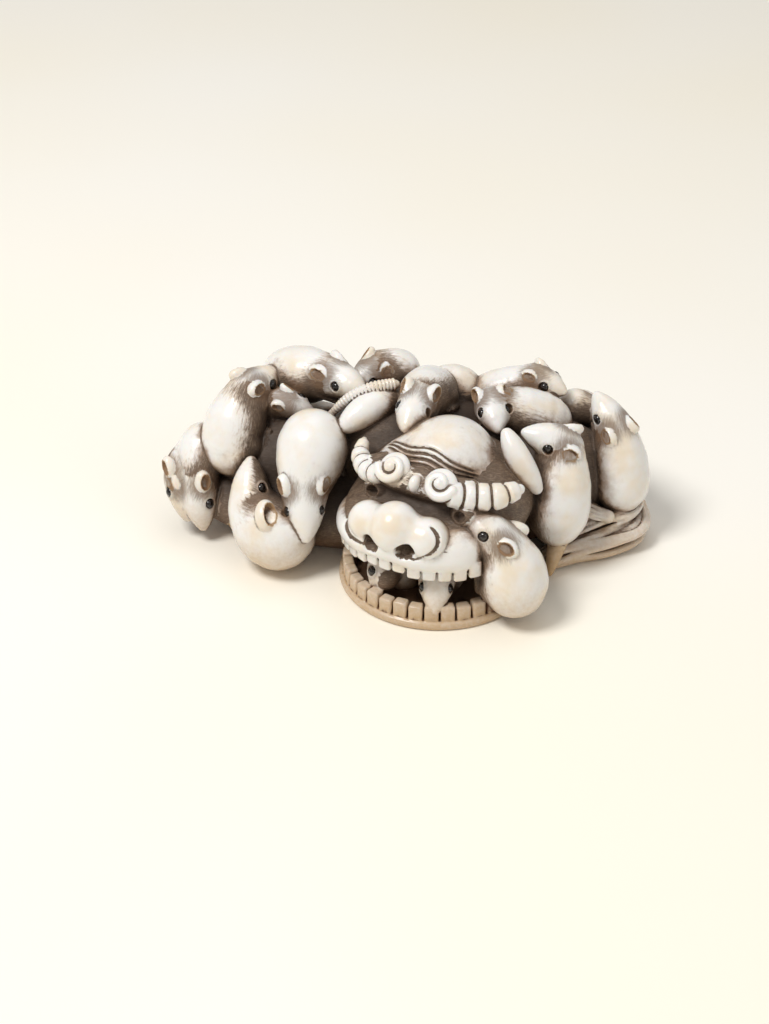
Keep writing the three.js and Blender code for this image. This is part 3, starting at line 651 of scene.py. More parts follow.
def pleatedRoll(cloth):
    # folded cloth: strands lying side by side round one line
    rng = np.random.default_rng(cloth["seed"])
    width, height, strands = cloth["width"], cloth["height"], cloth["strands"]
    line = smoothLine(cloth["line"], 26)
    forms = [chain(line, np.full(len(line), min(width, height) * 0.72))]
    tangent = np.gradient(line, axis=0)
    t = np.linspace(0, 1, len(line))
    swell = np.sin(math.pi * (0.12 + 0.76 * t)) ** 0.6
    for k in range(strands):
        turn = 2 * math.pi * (k + rng.uniform(-0.2, 0.2)) / strands
        offsets = []
        sway = rng.uniform(2.0, 4.5)
        for i, point in enumerate(line):
            forward = unit(tangent[i])
            up = squareTo((0, 0, 1), forward)
            side = np.cross(forward, up)
            wave = turn + 0.55 * math.sin(sway * t[i] + k)
            across, rise = side * width * 0.8 * math.cos(wave), up * height * 0.8 * math.sin(wave)
            offsets.append(point + swell[i] * (across + rise))
        forms.append(chain(offsets, 0.24 * min(width, height) * swell * rng.uniform(0.75, 1.25)))
    return joined(forms, 0.06)


# the tails that show: under rat_13, the ringed one over the mask's ear, and one between rat_02 and rat_04
tails = [
    {"line": [(15.7, -3.4, 4.6), (15.1, -4.6, 2.8), (14.5, -5.7, 0.7)], "radii": [1.3, 0.9, 0.4],
     "rings": (9, 0.12), "blend": 0.15},
    {"line": [(-1.4, 4.6, 17.2), (-3.8, 3.9, 17.2), (-6.0, 3.6, 16.3), (-8.2, 4.0, 13.8)],
     "radii": [0.7, 0.65, 0.55, 0.4], "rings": (22, 0.3, 0.5, 110), "blend": 0.06},
    {"line": [(-18.0, 1.6, 2.0), (-17.6, 2.1, 3.4), (-17.0, 2.6, 5.2)], "radii": [1.1, 0.8, 0.3],
     "rings": (10, 0.14), "blend": 0.1},
]

# eggs of plain ivory behind and under everything, and the broad head of rat_16
innerMass = [
    ((-0.6, 5.2, 3.6), (22.4, 8.0, 5.4)),
    ((-11.6, 5.8, 7.0), (7.6, 4.8, 5.4)),
    ((0.8, 7.4, 8.2), (9.6, 5.6, 6.6)),
    ((-1.8, 3.4, 10.4), (5.6, 4.6, 4.6)),
    ((14.0, 4.4, 6.6), (7.8, 5.2, 6.2)),
]
broadHead = {"centre": (-2.2, -9.5, 3.5), "way": (-0.3, -1.0, -0.7), "radii": (1.9, 1.45, 1.5)}

cordPassage = {"x": -3.0, "y": 6.0, "spread": 9.0, "depth": 3.2, "radius": 1.1}


def passage():
    x, y, depth, radius = (cordPassage[key] for key in ("x", "y", "depth", "radius"))
    half, third = cordPassage["spread"] / 2, cordPassage["spread"] / 3
    line = smoothLine([(x - half, y, -radius * 2), (x - third, y, depth * 0.6), (x, y, depth),
                       (x + third, y, depth * 0.6), (x + half, y, -radius * 2)], 16)
    return chain(line, np.full(16, radius))


def carveHead(block):
    block.add(joined([egg(centre, (1, 0, 0), (0, 0, 1), radii) for centre, radii in innerMass], 1.0), 0.12)
    block.add(maskEggs(("skull", "muzzle"), 0.8), 0.3)
    block.add(maskEgg("browRidge"), 0.6)
    block.add(maskEggs(("dome", "lobe"), 1.4), 0.5, "dome")
    for name in ("leftEye", "rightEye"):
        block.add(maskEgg(name), 0.2)
    report("mask and inner mass")


def carveMouth(block):
    block.cut(maskEgg("mouth"), 0.3)
    block.add(disc(jaw["radius"], 0.0, jaw["rim"], 0.35), 0.1, "jaw")
    block.cut(disc(jaw["hollow"], jaw["floor"], 2.4, 0.2), 0.2)
    block.add(maskLip(), 0.25, "lip")
    for row in (lowerTeeth, upperTeeth):
        block.add(toothRow(row), 0.08, "teeth")
    block.add(maskEggs(("nose", "leftWing", "rightWing"), 1.1), 0.12, "lip")


def carveBrows(block):
    place, radii = browLines["area"]
    block.press(egg(onMask(*place), (1, 0, 0), (0, 0, 1), radii), wrinkles)
    for way in (-1, 1):
        block.add(browTail(way), 0.06, "brow")
        block.add(browScroll(way), 0.06, "brow")
    block.add(maskEgg("browKnot"), 0.06, "brow")


def carveOpenings(block):
    for name in ("leftPupil", "rightPupil"):
        block.cut(maskEgg(name), 0.1)
    for groove in noseGrooves["lines"]:
        line = smoothLine([onMask(*point) for point in groove], 16)
        swell = noseGrooves["thick"] * np.sin(math.pi * np.linspace(0.12, 0.88, 16)) ** 0.5
        block.cut(chain(line, swell), 0.12)
    for name in ("leftNostril", "rightNostril"):
        block.cut(maskEgg(name), 0.2)
    report("mask features and cloth")


def carveRats(block):
    block.add(egg(broadHead["centre"], broadHead["way"], (0, 0, 1), broadHead["radii"]), 0.4)
    bowls = []
    for rat in rats:
        block.add(ratForm(rat), 0.1)
        for whichSide in rat["ears"]:
            ear, bowl = ratEar(rat, whichSide)
            block.add(ear, 0.2, "ratEar")
            bowls.append((bowl, "bowl"))
    block.finishes += bowls
    report("rats")


def carveSockets(block):
    for rat in rats:
        empty = rat.get("emptyEyes", ())
        for whichSide in rat["eyes"] + empty:
            centre, out = eyeCentre(rat, whichSide)
            block.add(egg(centre - out * eyeBead["lidSunk"], out, eyeBead["lidTop"], eyeBead["lid"]), 0.3)
            hole = eyeBead["emptySocket"] if whichSide in empty else eyeBead["radius"] + eyeBead["clearance"]
            block.cut(chain([centre, centre + out * eyeBead["socketDepth"]], [hole, hole]), 0.04)


def carveBlock(step):
    block = Block(carving["low"], carving["high"], step)
    carveHead(block)
    for cloth in clothRolls:
        block.add(pleatedRoll(cloth), cloth["blend"], "cloth")
    carveMouth(block)
    carveBrows(block)
    for ear in maskEars:
        block.add(maskEar(ear), 0.12, "ear")
    for tail in tails:
        block.add(bandedRoll(tail["line"], tail["radii"], *tail["rings"]), tail["blend"], "tail")
    carveOpenings(block)
    carveRats(block)
    carveSockets(block)
    block.cut(passage(), 0.2)
    height = block.low[2] + block.step * np.arange(block.size[2])
    block.far = np.maximum(block.far, -(height[None, None, :] - carving["underside"]).astype(np.float32))
    report("eye sockets and underside")
    return block


def smoothed(field, reach):
    # gaussian average, reach in cells
    half = int(math.ceil(reach * 2.5))
    weights = np.exp(-0.5 * (np.arange(-half, half + 1) / reach) ** 2)
    weights /= weights.sum()
    for axis in range(3):
        pads = [(0, 0)] * 3
        pads[axis] = (half, half)
        wide = np.pad(field, pads, mode="edge")
        out = np.zeros_like(field)
        for k, weight in enumerate(weights):
            cut = [slice(None)] * 3
            cut[axis] = slice(k, k + field.shape[axis])
            out += weight * wide[tuple(cut)]
        field = out
    return field


def sampleAt(field, low, step, points):
    # value of a grid at any places, blended between its cells
    g = (points - low) / step
    g = np.clip(g, 0, np.array(field.shape) - 1.001)
    i = np.floor(g).astype(int)
    f = g - i
    total = np.zeros(len(points))
    for dx in (0, 1):
        for dy in (0, 1):
            for dz in (0, 1):
                share = np.where((dx, dy, dz), f, 1 - f).prod(axis=1)
                total += share * field[i[:, 0] + dx, i[:, 1] + dy, i[:, 2] + dz]
    return total


def meshOf(block):
    grid = openvdb.FloatGrid(1.5)
    grid.copyFromArray(block.far)
    places, triangles, quads = grid.convertToPolygons(isovalue=0.0, adaptivity=0.0)
    places = np.asarray(places, float) * block.step + block.low
    faces = [np.asarray(triangles, int)] if len(triangles) else []
    quads = np.asarray(quads, int)
    faces += [quads[:, [0, 1, 2]], quads[:, [0, 2, 3]]]
    faces = np.concatenate(faces)
    a, b, c = (places[faces[:, k]] for k in range(3))
    volume = np.einsum("ij,ij->i", a, np.cross(b, c)).sum()
    return places, faces if volume > 0 else faces[:, ::-1]


def largestShell(count, faces):
    # keeps the one body that everything is carved from
    label = np.arange(count)
    for _ in range(200):
        low = np.minimum(np.minimum(label[faces[:, 0]], label[faces[:, 1]]), label[faces[:, 2]])
        before = label.copy()
        for k in range(3):
            np.minimum.at(label, faces[:, k], low)
        label = label[label]
        if np.array_equal(before, label):
            break
    names, sizes = np.unique(label[faces[:, 0]], return_counts=True)
    return label[faces[:, 0]] == names[np.argmax(sizes)], len(names)


def newMesh(name, places, faces):
    mesh = bpy.data.meshes.new(name)
    mesh.vertices.add(len(places))
    mesh.vertices.foreach_set("co", np.asarray(places, np.float32).ravel())
    mesh.loops.add(len(faces) * 3)
    mesh.loops.foreach_set("vertex_index", np.asarray(faces, np.int32).ravel())
    mesh.polygons.add(len(faces))
    mesh.polygons.foreach_set("loop_start", np.arange(0, len(faces) * 3, 3, dtype=np.int32))
    mesh.update(calc_edges=True)
    mesh.validate()
    return mesh


def newObject(name, data):
    piece = bpy.data.objects.new(name, data)
    bpy.context.scene.collection.objects.link(piece)
    return piece


def applied(piece):
    # the piece's modifiers made permanent
    evaluated = piece.evaluated_get(bpy.context.evaluated_depsgraph_get())
    mesh = bpy.data.meshes.new_from_object(evaluated)
    piece.modifiers.clear()
    piece.data = mesh
    return mesh


def carvePiece():
    step = carving["voxel"]
    block = carveBlock(step)
    places, faces = meshOf(block)
    keep, shells = largestShell(len(places), faces)
    faces = faces[keep]
    used = np.unique(faces)
    renumber = np.zeros(len(places), int)
    renumber[used] = np.arange(len(used))
    places, faces = places[used], renumber[faces]
    report(f"skin of {len(faces)} triangles, {shells} shells")
    piece = newObject("carved_ivory", newMesh("carved_ivory", places, faces))
    if len(faces) > carving["triangles"]:
        thin = piece.modifiers.new("thin", "DECIMATE")
        thin.ratio = carving["triangles"] / len(faces)
        applied(piece)
    report(f"thinned to {len(piece.data.polygons)} triangles")
    return piece, block


def verticesOf(mesh):
    places = np.empty(len(mesh.vertices) * 3, np.float32)
    mesh.vertices.foreach_get("co", places)
    return places.reshape(-1, 3).astype(float)


def giveNumbers(mesh, name, values):
    layer = mesh.attributes.new(name, "FLOAT", "POINT")
    layer.data.foreach_set("value", np.asarray(values, np.float32))


def giveVectors(mesh, name, values):
    layer = mesh.attributes.new(name, "FLOAT_VECTOR", "POINT")
    layer.data.foreach_set("vector", np.asarray(values, np.float32).ravel())


# how polished each form is, and how far its own colour turns towards honey
finishes = {
    "dome": (1.0, 0.22), "lip": (1.0, 0.08), "jaw": (1.0, 0.0), "teeth": (1.0, 0.12), "brow": (1.0, 0.05),
    "ear": (0.92, 0.0), "tail": (1.0, 0.3), "cloth": (1.0, -0.02), "ratEar": (0.9, 0.15), "bowl": (0.42, 0.9),
}

# where the stain lies, and where painted shade darkens the colour low down
stainAndShadePlan = {
    "tight": 0.2, "tightDepth": 0.06,       # how closely grooves are felt for, in mm
    "cell": 0.3,                            # fineness of the wider looks round
    "near": (0.42, 0.05), "wide": (1.1, 0.1), "deep": (2.6, 0.5),   # how far round, and from how far out
    "formSkin": 0.12, "earSkin": 0.06,      # how near its form a place counts as that form's
    "ratSkin": 0.35,
    "rubbed": 0.75,                         # polish of a rat's coat
    "coverMore": 0.24, "shoulder": (0.55, 1.6),
    "headCover": -0.15, "neck": (0.75, 0.1, 0.17),      # strength, place and width along the head
    "eyeRing": (1.0, 0.4), "earRing": (2.3, 1.3, 0.8),  # reach, softness and strength round eyes and ears
    # painted shade: below the next height the colour warms and darkens, the more the lower
    "lowShade": (8.0, 0.8),                  # height under which the colour warms, and how much
}


def feelGrooves(block, places, normals):
    # over 0 in grooves and under 0 on edges, then how much ivory stands round each place at three reaches
    tight = smoothed(block.far, stainAndShadePlan["tight"] / block.step)
    felt = {"fine": -sampleAt(tight, block.low, block.step, places) / stainAndShadePlan["tightDepth"]}
    every = max(1, int(round(stainAndShadePlan["cell"] / block.step)))
    cell = block.step * every
    filled = np.clip(0.5 - block.far[::every, ::every, ::every] / (cell * 1.4), 0, 1).astype(np.float32)
    for name in ("near", "wide", "deep"):
        reach, out = stainAndShadePlan[name]
        felt[name] = sampleAt(smoothed(filled, reach / cell), block.low, cell, places + normals * out)
    return felt


def stainAndShadePiece(piece, block):
    # works out where stain gathers, where the coat is polished bare, which way the hair is cut, and the painted
    # shade that warms and darkens the colour low down
    mesh = piece.data
    places = verticesOf(mesh)
    count = len(places)
    slopes = np.stack([sampleAt(g, block.low, block.step, places) for g in np.gradient(block.far)], axis=1)
    normals = slopes / (np.linalg.norm(slopes, axis=1, keepdims=True) + 1e-9)
    numbers = feelGrooves(block, places, normals)
    underCoat = np.full(count, -0.6)
    bare, warm, rings = np.zeros(count), np.zeros(count), np.zeros(count)
    finished = np.zeros(count, bool)
    lie = np.stack([places[:, 0], places[:, 2] + places[:, 1], places[:, 1]], axis=1)
    for form, finish in block.finishes:
        pick = np.where(np.all((places > form.low - 0.3) & (places < form.high + 0.3), axis=1))[0]
        if len(pick):
            p = places[pick]
            skin = stainAndShadePlan["earSkin" if finish == "ratEar" else "formSkin"]
            own = pick[np.abs(form.far(p[:, 0], p[:, 1], p[:, 2])) < skin]
            bare[own], warm[own] = finishes[finish]
            finished[own] = True
    best = np.full(count, stainAndShadePlan["ratSkin"])
    for number, rat in enumerate(rats):
        centres, radii, forward, up, side = ratFrame(rat)
        start, nose, length = headLine(rat)
        low = np.minimum(centres.min(axis=0), nose) - 5
        high = np.maximum(centres.max(axis=0), nose) + 5
        pick = np.where(np.all((places > low) & (places < high), axis=1))[0]
        if not len(pick):
            continue
        p = places[pick]
        body = chain(centres, radii).far(p[:, 0], p[:, 1], p[:, 2])
        head = ratHead(rat).far(p[:, 0], p[:, 1], p[:, 2])
        far = np.minimum(body, head)
        mine = (far < best[pick]) & ~finished[pick]
        best[pick[mine]] = far[mine]
        own = pick[mine]
        bare[own] = stainAndShadePlan["rubbed"]
        underCoat[own], lie[own] = coatOf(rat, number, p[mine], (body < head)[mine])
        reach, soft = stainAndShadePlan["eyeRing"]
        for whichSide in rat["eyes"] + rat.get("emptyEyes", ()):
            gap = np.linalg.norm(p - eyeCentre(rat, whichSide)[0], axis=1)
            rings[pick] = np.maximum(rings[pick], np.clip((reach - gap) / soft, 0, 1))
        reach, soft, strength = stainAndShadePlan["earRing"]
        for whichSide in rat["ears"]:
            surface, out, ahead, _ = onHead(rat, earCup["at"], earCup["fromBack"], sideways[whichSide])
            gap = np.linalg.norm(p - (surface - out * 0.1 + ahead * 0.25), axis=1)
            ring = strength * np.clip((reach - gap) / soft, 0, 1) * (bare[pick] < 0.8)
            rings[pick] = np.maximum(rings[pick], ring)
    # painted shade added to each form's own tone: warmer and darker the lower a place lies
    height, much = stainAndShadePlan["lowShade"]
    warm = warm + much * np.clip((height - places[:, 2]) / height, 0, 1)
    numbers.update(underCoat=underCoat, ringStain=rings, bare=bare, warm=np.clip(warm, 0, 1))
    for name, values in numbers.items():
        giveNumbers(mesh, name, values)
    giveVectors(mesh, "lie", lie)
    mesh.polygons.foreach_set("use_smooth", np.ones(len(mesh.polygons), bool))
    mesh.normals_split_custom_set_from_vertices(normals.astype(np.float32))
    report("stain worked out")


def coatOf(rat, number, places, onBody):
    # how far into the stained coat each place of a rat lies, and its place along and round the hair
    centres, _, forward, up, side = ratFrame(rat)
    start, nose, length = headLine(rat)
    run = (places - centres[0]) @ forward
    ray = places - (centres[0] + np.outer(np.clip(run, 0, None), forward))
    ray = ray / (np.linalg.norm(ray, axis=1, keepdims=True) + 1e-6)
    strength, width = stainAndShadePlan["shoulder"]
    shoulder = np.exp(-((run - np.dot(centres[-1] - centres[0], forward)) / width) ** 2)
    bodyStain = rat["cover"] + stainAndShadePlan["coverMore"] - ray @ up + strength * shoulder
    headForward = unit(nose - start)
    headUp = squareTo(rat.get("headCoat", rat["back"]), headForward)
    lift = (places - start) @ headForward
    headRay = places - start - np.outer(lift, headForward)
    headRay = headRay / (np.linalg.norm(headRay, axis=1, keepdims=True) + 1e-6)
    strength, at, width = stainAndShadePlan["neck"]
    neck = np.exp(-((lift - at * length) / (width * length)) ** 2)
    headStain = rat.get("headCover", stainAndShadePlan["headCover"]) - headRay @ headUp + strength * neck
    turn = np.arctan2(ray @ side, ray @ up)
    along = np.stack([run + number * 7.3, turn * rat["girth"], np.full(len(places), number * 1.7)], axis=1)
    return np.where(onBody, bodyStain, headStain), along


class Nodes:
    # short hand for wiring a material
    def __init__(self, name):
        self.material = bpy.data.materials.new(name)
        self.material.use_nodes = True
        self.tree = self.material.node_tree
        self.tree.nodes.clear()
        self.surface = self.add("ShaderNodeOutputMaterial")
        self.shader = self.add("ShaderNodeBsdfPrincipled")
        self.link(self.shader.outputs[0], self.surface.inputs["Surface"])

    def add(self, kind, **settings):
        node = self.tree.nodes.new(kind)
        for key, value in settings.items():
            setattr(node, key, value)
        return node

    def link(self, a, b):
        self.tree.links.new(a, b)

    def feed(self, socket, value):
        if hasattr(value, "is_output"):
            self.link(value, socket)
        else:
            socket.default_value = value

    def math(self, operation, a, b, clamp=False):
        node = self.add("ShaderNodeMath", operation=operation, use_clamp=clamp)
        self.feed(node.inputs[0], a)
        self.feed(node.inputs[1], b)
        return node.outputs[0]

    def plus(self, a, b):
        return self.math("ADD", a, b)

    def times(self, a, b):
        return self.math("MULTIPLY", a, b)

    def most(self, a, b):
        return self.math("MAXIMUM", a, b)

    def swing(self, value, much):
        # a 0 to 1 value turned into one that swings round 0
        return self.times(self.math("SUBTRACT", value, 0.5), much)

    def number(self, name):
        return self.add("ShaderNodeAttribute", attribute_name=name).outputs["Fac"]

    def vector(self, name):
        return self.add("ShaderNodeAttribute", attribute_name=name).outputs["Vector"]

    def stretch(self, vector, scale):
        node = self.add("ShaderNodeMapping")
        self.link(vector, node.inputs["Vector"])
        node.inputs["Scale"].default_value = scale
        return node.outputs[0]

    def noise(self, vector, scale, detail, roughness):
        node = self.add("ShaderNodeTexNoise")
        self.link(vector, node.inputs["Vector"])
        node.inputs["Scale"].default_value = scale
        node.inputs["Detail"].default_value = detail
        node.inputs["Roughness"].default_value = roughness
        return node.outputs["Fac"]

    def range(self, value, low, high, to=(0.0, 1.0)):
        node = self.add("ShaderNodeMapRange", interpolation_type="SMOOTHSTEP")
        self.feed(node.inputs["Value"], value)
        node.inputs["From Min"].default_value = low
        node.inputs["From Max"].default_value = high
        node.inputs["To Min"].default_value = to[0]
        node.inputs["To Max"].default_value = to[1]
        return node.outputs[0]

    def mix(self, amount, a, b):
        node = self.add("ShaderNodeMix", data_type="RGBA")
        self.feed(node.inputs["Factor"], amount)
        self.feed(node.inputs[6], a)
        self.feed(node.inputs[7], b)
        return node.outputs[2]

    def bump(self, height, distance):
        node = self.add("ShaderNodeBump")
        node.inputs["Distance"].default_value = distance
        node.inputs["Strength"].default_value = 1.0
        self.link(height, node.inputs["Height"])
        return node.outputs["Normal"]

    def set(self, **settings):
        for key, value in settings.items():
            self.shader.inputs[key.replace("_", " ")].default_value = value


def tint(red, green, blue):
    # a colour given as it looks on a screen, 0 to 255
    def linear(v):
        v /= 255
        return v / 12.92 if v <= 0.04045 else ((v + 0.055) / 1.055) ** 2.4
    return (linear(red), linear(green), linear(blue), 1.0)


# the ivory's own colours; honey also paints shade low down, amber shade in recesses, the brown after it only
# shade in hollows, and the darkest shade in deep hollows
ivoryLookAndShade = {
    "polished": tint(238, 236, 233),
    "cream": tint(235, 222, 202),
    "honey": tint(190, 158, 116),
    "amber": tint(178, 134, 88),
    "shadeBrown": tint(142, 108, 80),
    "stain": tint(110, 90, 73),
    "stainAndShadeDark": tint(60, 45, 34),
    "stainWarm": tint(120, 78, 44),
    "stainRing": tint(134, 98, 66),
    "scratch": tint(172, 151, 129),
    "gloss": 0.24,
    "stainRough": 0.5,
    "hairDepth": 0.00007,
    "translucency": 0.2, "glowColour": (1.0, 0.62, 0.36), "glowReach": 0.0006,
}

# from where to where each kind of stain, and each painted shade, comes in
stainAndShadeEdges = {
    "groove": (0.35, 0.95),
    "crease": (0.515, 0.6),
    "hollow": (0.49, 0.62),
    "coat": (-0.16, 0.2),
    "ring": (0.1, 0.85, (0.0, 0.8)),
    "polish": (0.2, 0.6),
    # the next two are painted shade on the polished ivory, in deep hollows and in wide recesses
    "shade": (0.3, 0.56),
    "beside": (0.42, 0.55),
    # the fringe beside the coat's stain, then painted shade in wide recesses
    "haloCoat": (-0.34, 0.06), "haloShade": (0.45, 0.62),
    # painted shade: the stain darkens in deep hollows
    "deepShade": (0.42, 0.66, (0.0, 0.8)),
    "rubbedEdge": (-0.45, -1.2, (0.0, 0.7)),
}


def ivoryMaterial():
    n = Nodes("stained_and_shaded_ivory")
    look, edges = ivoryLookAndShade, stainAndShadeEdges
    place = n.add("ShaderNodeTexCoord").outputs["Object"]
    inMm = n.stretch(place, (1000.0, 1000.0, 1000.0))
    fine, near, wide, deep = (n.number(name) for name in ("fine", "near", "wide", "deep"))
    underCoat, rings, bare, warm = (n.number(name) for name in ("underCoat", "ringStain", "bare", "warm"))
    lie = n.vector("lie")
    cloud = n.noise(inMm, 0.3, 3.0, 0.5)
    speck = n.noise(inMm, 2.2, 4.0, 0.65)
    mottle = n.noise(inMm, 0.7, 4.0, 0.62)
    hair = n.noise(n.stretch(lie, (1.8, 11.0, 1.0)), 1.0, 4.0, 0.62)
    fineHair = n.noise(n.stretch(lie, (3.4, 23.0, 1.0)), 1.0, 2.0, 0.5)
    rough = n.math("SUBTRACT", n.noise(n.stretch(lie, (1.7, 4.2, 1.7)), 1.0, 5.0, 0.64), 0.5)
    hatch = n.plus(n.times(rough, 0.7), n.swing(hair, 0.8))
    patchy = n.swing(n.noise(inMm, 0.9, 4.0, 0.6), 0.3)
    # stain gathers in grooves and creases, on the cut coat, round eyes and ears, and wherever nothing rubs
    groove = n.range(n.plus(fine, n.times(rough, 0.5)), *edges["groove"])
    crease = n.range(n.plus(near, n.times(rough, 0.22)), *edges["crease"])
    hollow = n.range(n.plus(wide, n.times(rough, 0.4)), *edges["hollow"])
    coat = n.range(n.plus(underCoat, hatch), *edges["coat"])
    ringed = n.range(n.plus(rings, hatch), *edges["ring"])
    unworn = n.math("SUBTRACT", 1.0, n.range(bare, *edges["polish"]))
    cut = n.most(n.most(coat, ringed), unworn)
    gathered = n.most(n.most(crease, groove), hollow)
    amount = n.math("MAXIMUM", cut, gathered, clamp=True)
    # the polished ivory: warmer and darker low down as painted shade, with an amber fringe beside the stain
    # that also paints shade in recesses, and browner with painted shade in hollows
    haloAndShade = n.math("MAXIMUM", n.range(n.plus(underCoat, rough), *edges["haloCoat"]),
                  n.range(wide, *edges["haloShade"]), clamp=True)
    pale = n.mix(n.range(cloud, 0.4, 0.75), look["polished"], look["cream"])
    # honey comes in with each form's own tone and with the painted shade low down
    warmth = n.plus(warm, n.swing(speck, 0.35))
    clean = n.mix(n.range(warmth, 0.1, 1.0), pale, look["honey"])
    clean = n.mix(n.times(haloAndShade, 0.42), clean, look["amber"])
    # painted shade: brown in deep hollows and in wide recesses
    clean = n.mix(n.times(n.range(n.plus(deep, patchy), *edges["shade"]), 0.5), clean, look["shadeBrown"])
    clean = n.mix(n.times(n.range(n.plus(wide, patchy), *edges["beside"]), 0.6), clean, look["shadeBrown"])
    # the stain, scored by the cut hair
    stain = n.mix(n.range(hair, 0.48, 0.68, (0.0, 0.62)), look["stain"], look["scratch"])
    stain = n.mix(n.range(fineHair, 0.5, 0.75, (0.0, 0.6)), stain, look["stainAndShadeDark"])
    stain = n.mix(n.range(speck, 0.6, 0.74, (0.0, 0.45)), stain, look["scratch"])
    stain = n.mix(n.range(mottle, 0.45, 0.7, (0.0, 0.55)), stain, look["stainAndShadeDark"])
    # the stain turns warmer with each form's own tone and with the painted shade low down
    stain = n.mix(n.range(warm, 0.3, 0.9, (0.0, 0.6)), stain, look["stainWarm"])
    stain = n.mix(n.range(rings, 0.1, 0.8, (0.0, 0.45)), stain, look["stainRing"])
    # painted shade: the stain darkens in deep hollows
    stain = n.mix(n.range(deep, *edges["deepShade"]), stain, look["stainAndShadeDark"])
    rubbed = n.times(n.range(fine, *edges["rubbedEdge"]), n.range(bare, 0.4, 0.6))
    stain = n.mix(rubbed, stain, clean)
    n.link(n.mix(amount, clean, stain), n.shader.inputs["Base Color"])
    dull = n.plus(n.times(amount, look["stainRough"] - look["gloss"]), look["gloss"])
    n.link(n.plus(dull, n.swing(speck, 0.14)), n.shader.inputs["Roughness"])
    n.set(Subsurface_Weight=look["translucency"], Subsurface_Radius=look["glowColour"],
          Subsurface_Scale=look["glowReach"], IOR=1.53)
    strokes = n.plus(n.times(hair, 0.7), n.times(fineHair, 0.5))
    cutHair = n.times(strokes, n.math("MULTIPLY", cut, 1.0, clamp=True))
    grain = n.noise(inMm, 6.0, 3.0, 0.6)
    height = n.plus(cutHair, n.times(grain, 0.05))
    n.link(n.bump(height, look["hairDepth"]), n.shader.inputs["Normal"])
    return n.material


beadFinish = {"colour": tint(14, 11, 10), "cloud": tint(34, 26, 22), "roughness": 0.08, "coat": 0.5}


def beadMaterial():
    n = Nodes("black_bead")
    place = n.stretch(n.add("ShaderNodeTexCoord").outputs["Object"], (1000.0, 1000.0, 1000.0))
    cloud = n.noise(place, 2.0, 2.0, 0.5)
    n.link(n.mix(n.range(cloud, 0.4, 0.7), beadFinish["colour"], beadFinish["cloud"]),
           n.shader.inputs["Base Color"])
    n.link(n.plus(n.times(cloud, 0.1), beadFinish["roughness"]), n.shader.inputs["Roughness"])
    n.link(n.bump(n.noise(place, 9.0, 2.0, 0.5), 0.000004), n.shader.inputs["Normal"])
    n.set(Coat_Weight=beadFinish["coat"], Coat_Roughness=0.05)
    return n.material


beadShape = {"rings": 20, "sides": 28, "unevenness": 0.012}


def beadSkin(centre, radius):
    # a nearly round bead; the ends of its rows fall together and are welded later
    rows, sides = beadShape["rings"], beadShape["sides"]
    places, faces = [], []
    for i in range(rows + 1):
        tilt = math.pi * i / rows
        for j in range(sides):
            turn = 2 * math.pi * j / sides
            swell = 1 + beadShape["unevenness"] * math.sin(3 * turn) * math.sin(tilt)
            around = (math.sin(tilt) * math.cos(turn), math.sin(tilt) * math.sin(turn), math.cos(tilt))
            places.append(centre + radius * swell * np.array(around))
    for i in range(rows):
        for j in range(sides):
            a, b = i * sides + j, i * sides + (j + 1) % sides
            c, d = a + sides, b + sides
            if i > 0:
                faces.append((a, c, b))
            if i < rows - 1:
                faces.append((b, c, d))
    places = np.array(places)
    places[:sides] = places[0]
    places[-sides:] = places[-1]
    return places, np.array(faces)


def makeBeads(material):
    for node in sorted(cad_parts):
        if not node.endswith("_eye"):
            continue
        low, high = (np.array(corner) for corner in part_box(node))
        places, faces = beadSkin((low + high) / 2, eyeBead["radius"] / 1000)
        bead = newObject(node + "_bead", newMesh(node + "_bead", places, faces))
        weld = bead.modifiers.new("weld", "WELD")
        weld.merge_threshold = 1e-7
        mesh = applied(bead)
        mesh.polygons.foreach_set("use_smooth", np.ones(len(mesh.polygons), bool))
        mesh.materials.append(material)
        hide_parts(node)
        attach(bead, "root")
    report("beads set")


def makeIvory():
    carved, block = carvePiece()
    stainAndShadePiece(carved, block)
    mesh = carved.data
    places = (verticesOf(mesh) - layoutMiddle) / 1000
    mesh.vertices.foreach_set("co", places.astype(np.float32).ravel())
    mesh.update()
    mesh.materials.append(ivoryMaterial())
    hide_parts("ivory_carving")
    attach(carved, "root")


studio = {
    "floor": tint(253, 250, 243), "floorWarm": tint(253, 247, 232), "floorHalf": 3,
    "world": (1.0, 0.985, 0.96, 1.0), "worldStrength": 0.39,
    "aim": (0, 0, 0.008),
    # where each light stands, its size, its power and its colour
    "lights": {
        "softKey": ((-0.16, -0.10, 0.34), 0.14, 0.98, (1.0, 0.99, 0.97)),
        "fill": ((0.32, -0.22, 0.22), 0.3, 0.2, (1.0, 0.97, 0.93)),
        "top": ((0.05, 0.16, 0.4), 0.3, 0.22, (1.0, 1.0, 1.0)),
    },
}


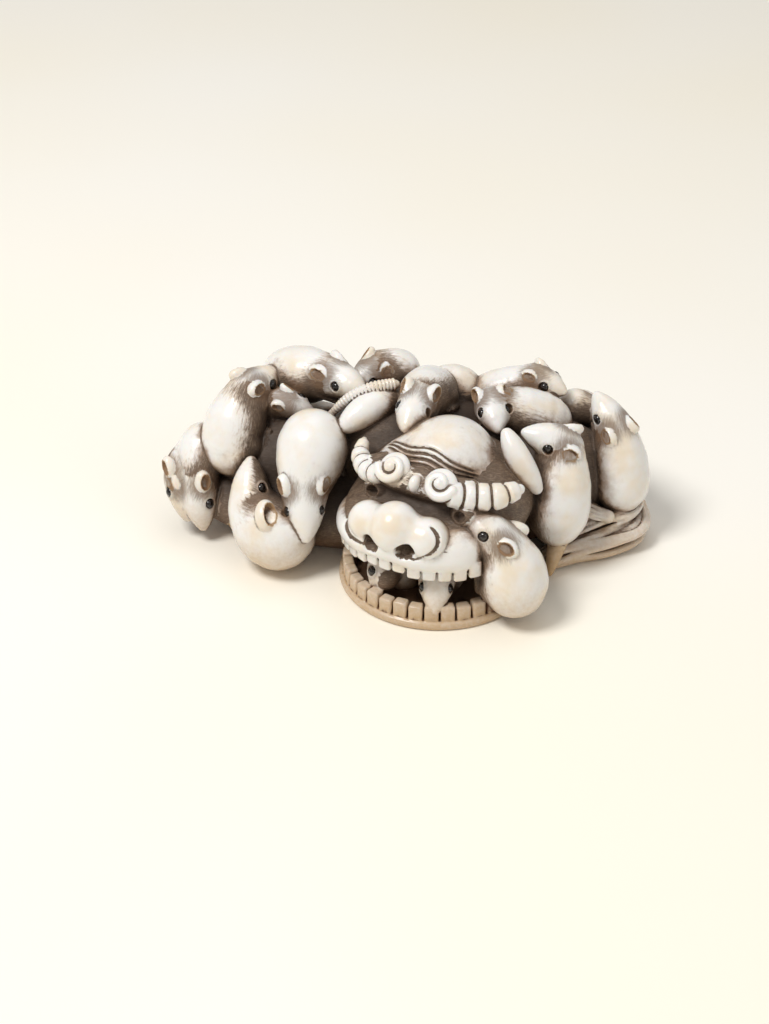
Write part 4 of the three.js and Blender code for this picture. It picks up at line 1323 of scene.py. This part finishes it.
def floorMaterial():
    n = Nodes("pale_floor")
    place = n.add("ShaderNodeTexCoord").outputs["Object"]
    cloud = n.noise(place, 9.0, 2.0, 0.5)
    n.link(n.mix(n.range(cloud, 0.3, 0.7), studio["floor"], studio["floorWarm"]), n.shader.inputs["Base Color"])
    n.set(Roughness=0.7)
    return n.material


def makeFloor():
    h = studio["floorHalf"]
    mesh = newMesh("floor", np.array([(-h, -h, 0), (h, -h, 0), (h, h, 0), (-h, h, 0)]),
                   np.array([(0, 1, 2), (0, 2, 3)]))
    floor = newObject("floor", mesh)
    mesh.materials.append(floorMaterial())


def aimed(name, data, place, target):
    # a light or the camera, set down and turned to its target
    holder = newObject(name, data)
    holder.location = place
    holder.rotation_euler = (Vector(target) - Vector(place)).to_track_quat("-Z", "Y").to_euler()
    return holder


def makeLights():
    for name, (place, size, power, colour) in studio["lights"].items():
        lamp = bpy.data.lights.new(name, "AREA")
        lamp.shape = "DISK"
        lamp.size = size
        lamp.energy = power
        lamp.color = colour
        aimed(name, lamp, place, studio["aim"])
    world = bpy.data.worlds.new("studio")
    world.use_nodes = True
    background = world.node_tree.nodes["Background"]
    background.inputs["Color"].default_value = studio["world"]
    background.inputs["Strength"].default_value = studio["worldStrength"]
    bpy.context.scene.world = world


camera = {"target": (-2.5, 6.6, 0.0), "elevation": 34.0, "distance": 236.0, "lens": 76.75, "sensor": 36.0}


def makeCamera():
    data = bpy.data.cameras.new("camera")
    data.sensor_fit = "AUTO"
    data.sensor_width = camera["sensor"]
    data.lens = camera["lens"]
    data.clip_start = 0.01
    data.clip_end = 20
    rise = math.radians(camera["elevation"])
    target = (np.array(camera["target"]) - layoutMiddle) / 1000
    place = target + camera["distance"] / 1000 * np.array([0, -math.cos(rise), math.sin(rise)])
    bpy.context.scene.camera = aimed("camera", data, place, target)


makeIvory()
makeBeads(beadMaterial())
makeFloor()
makeLights()
makeCamera()
bpy.context.scene.view_settings.view_transform = "Standard"
bpy.context.view_layer.update()
report("ready")
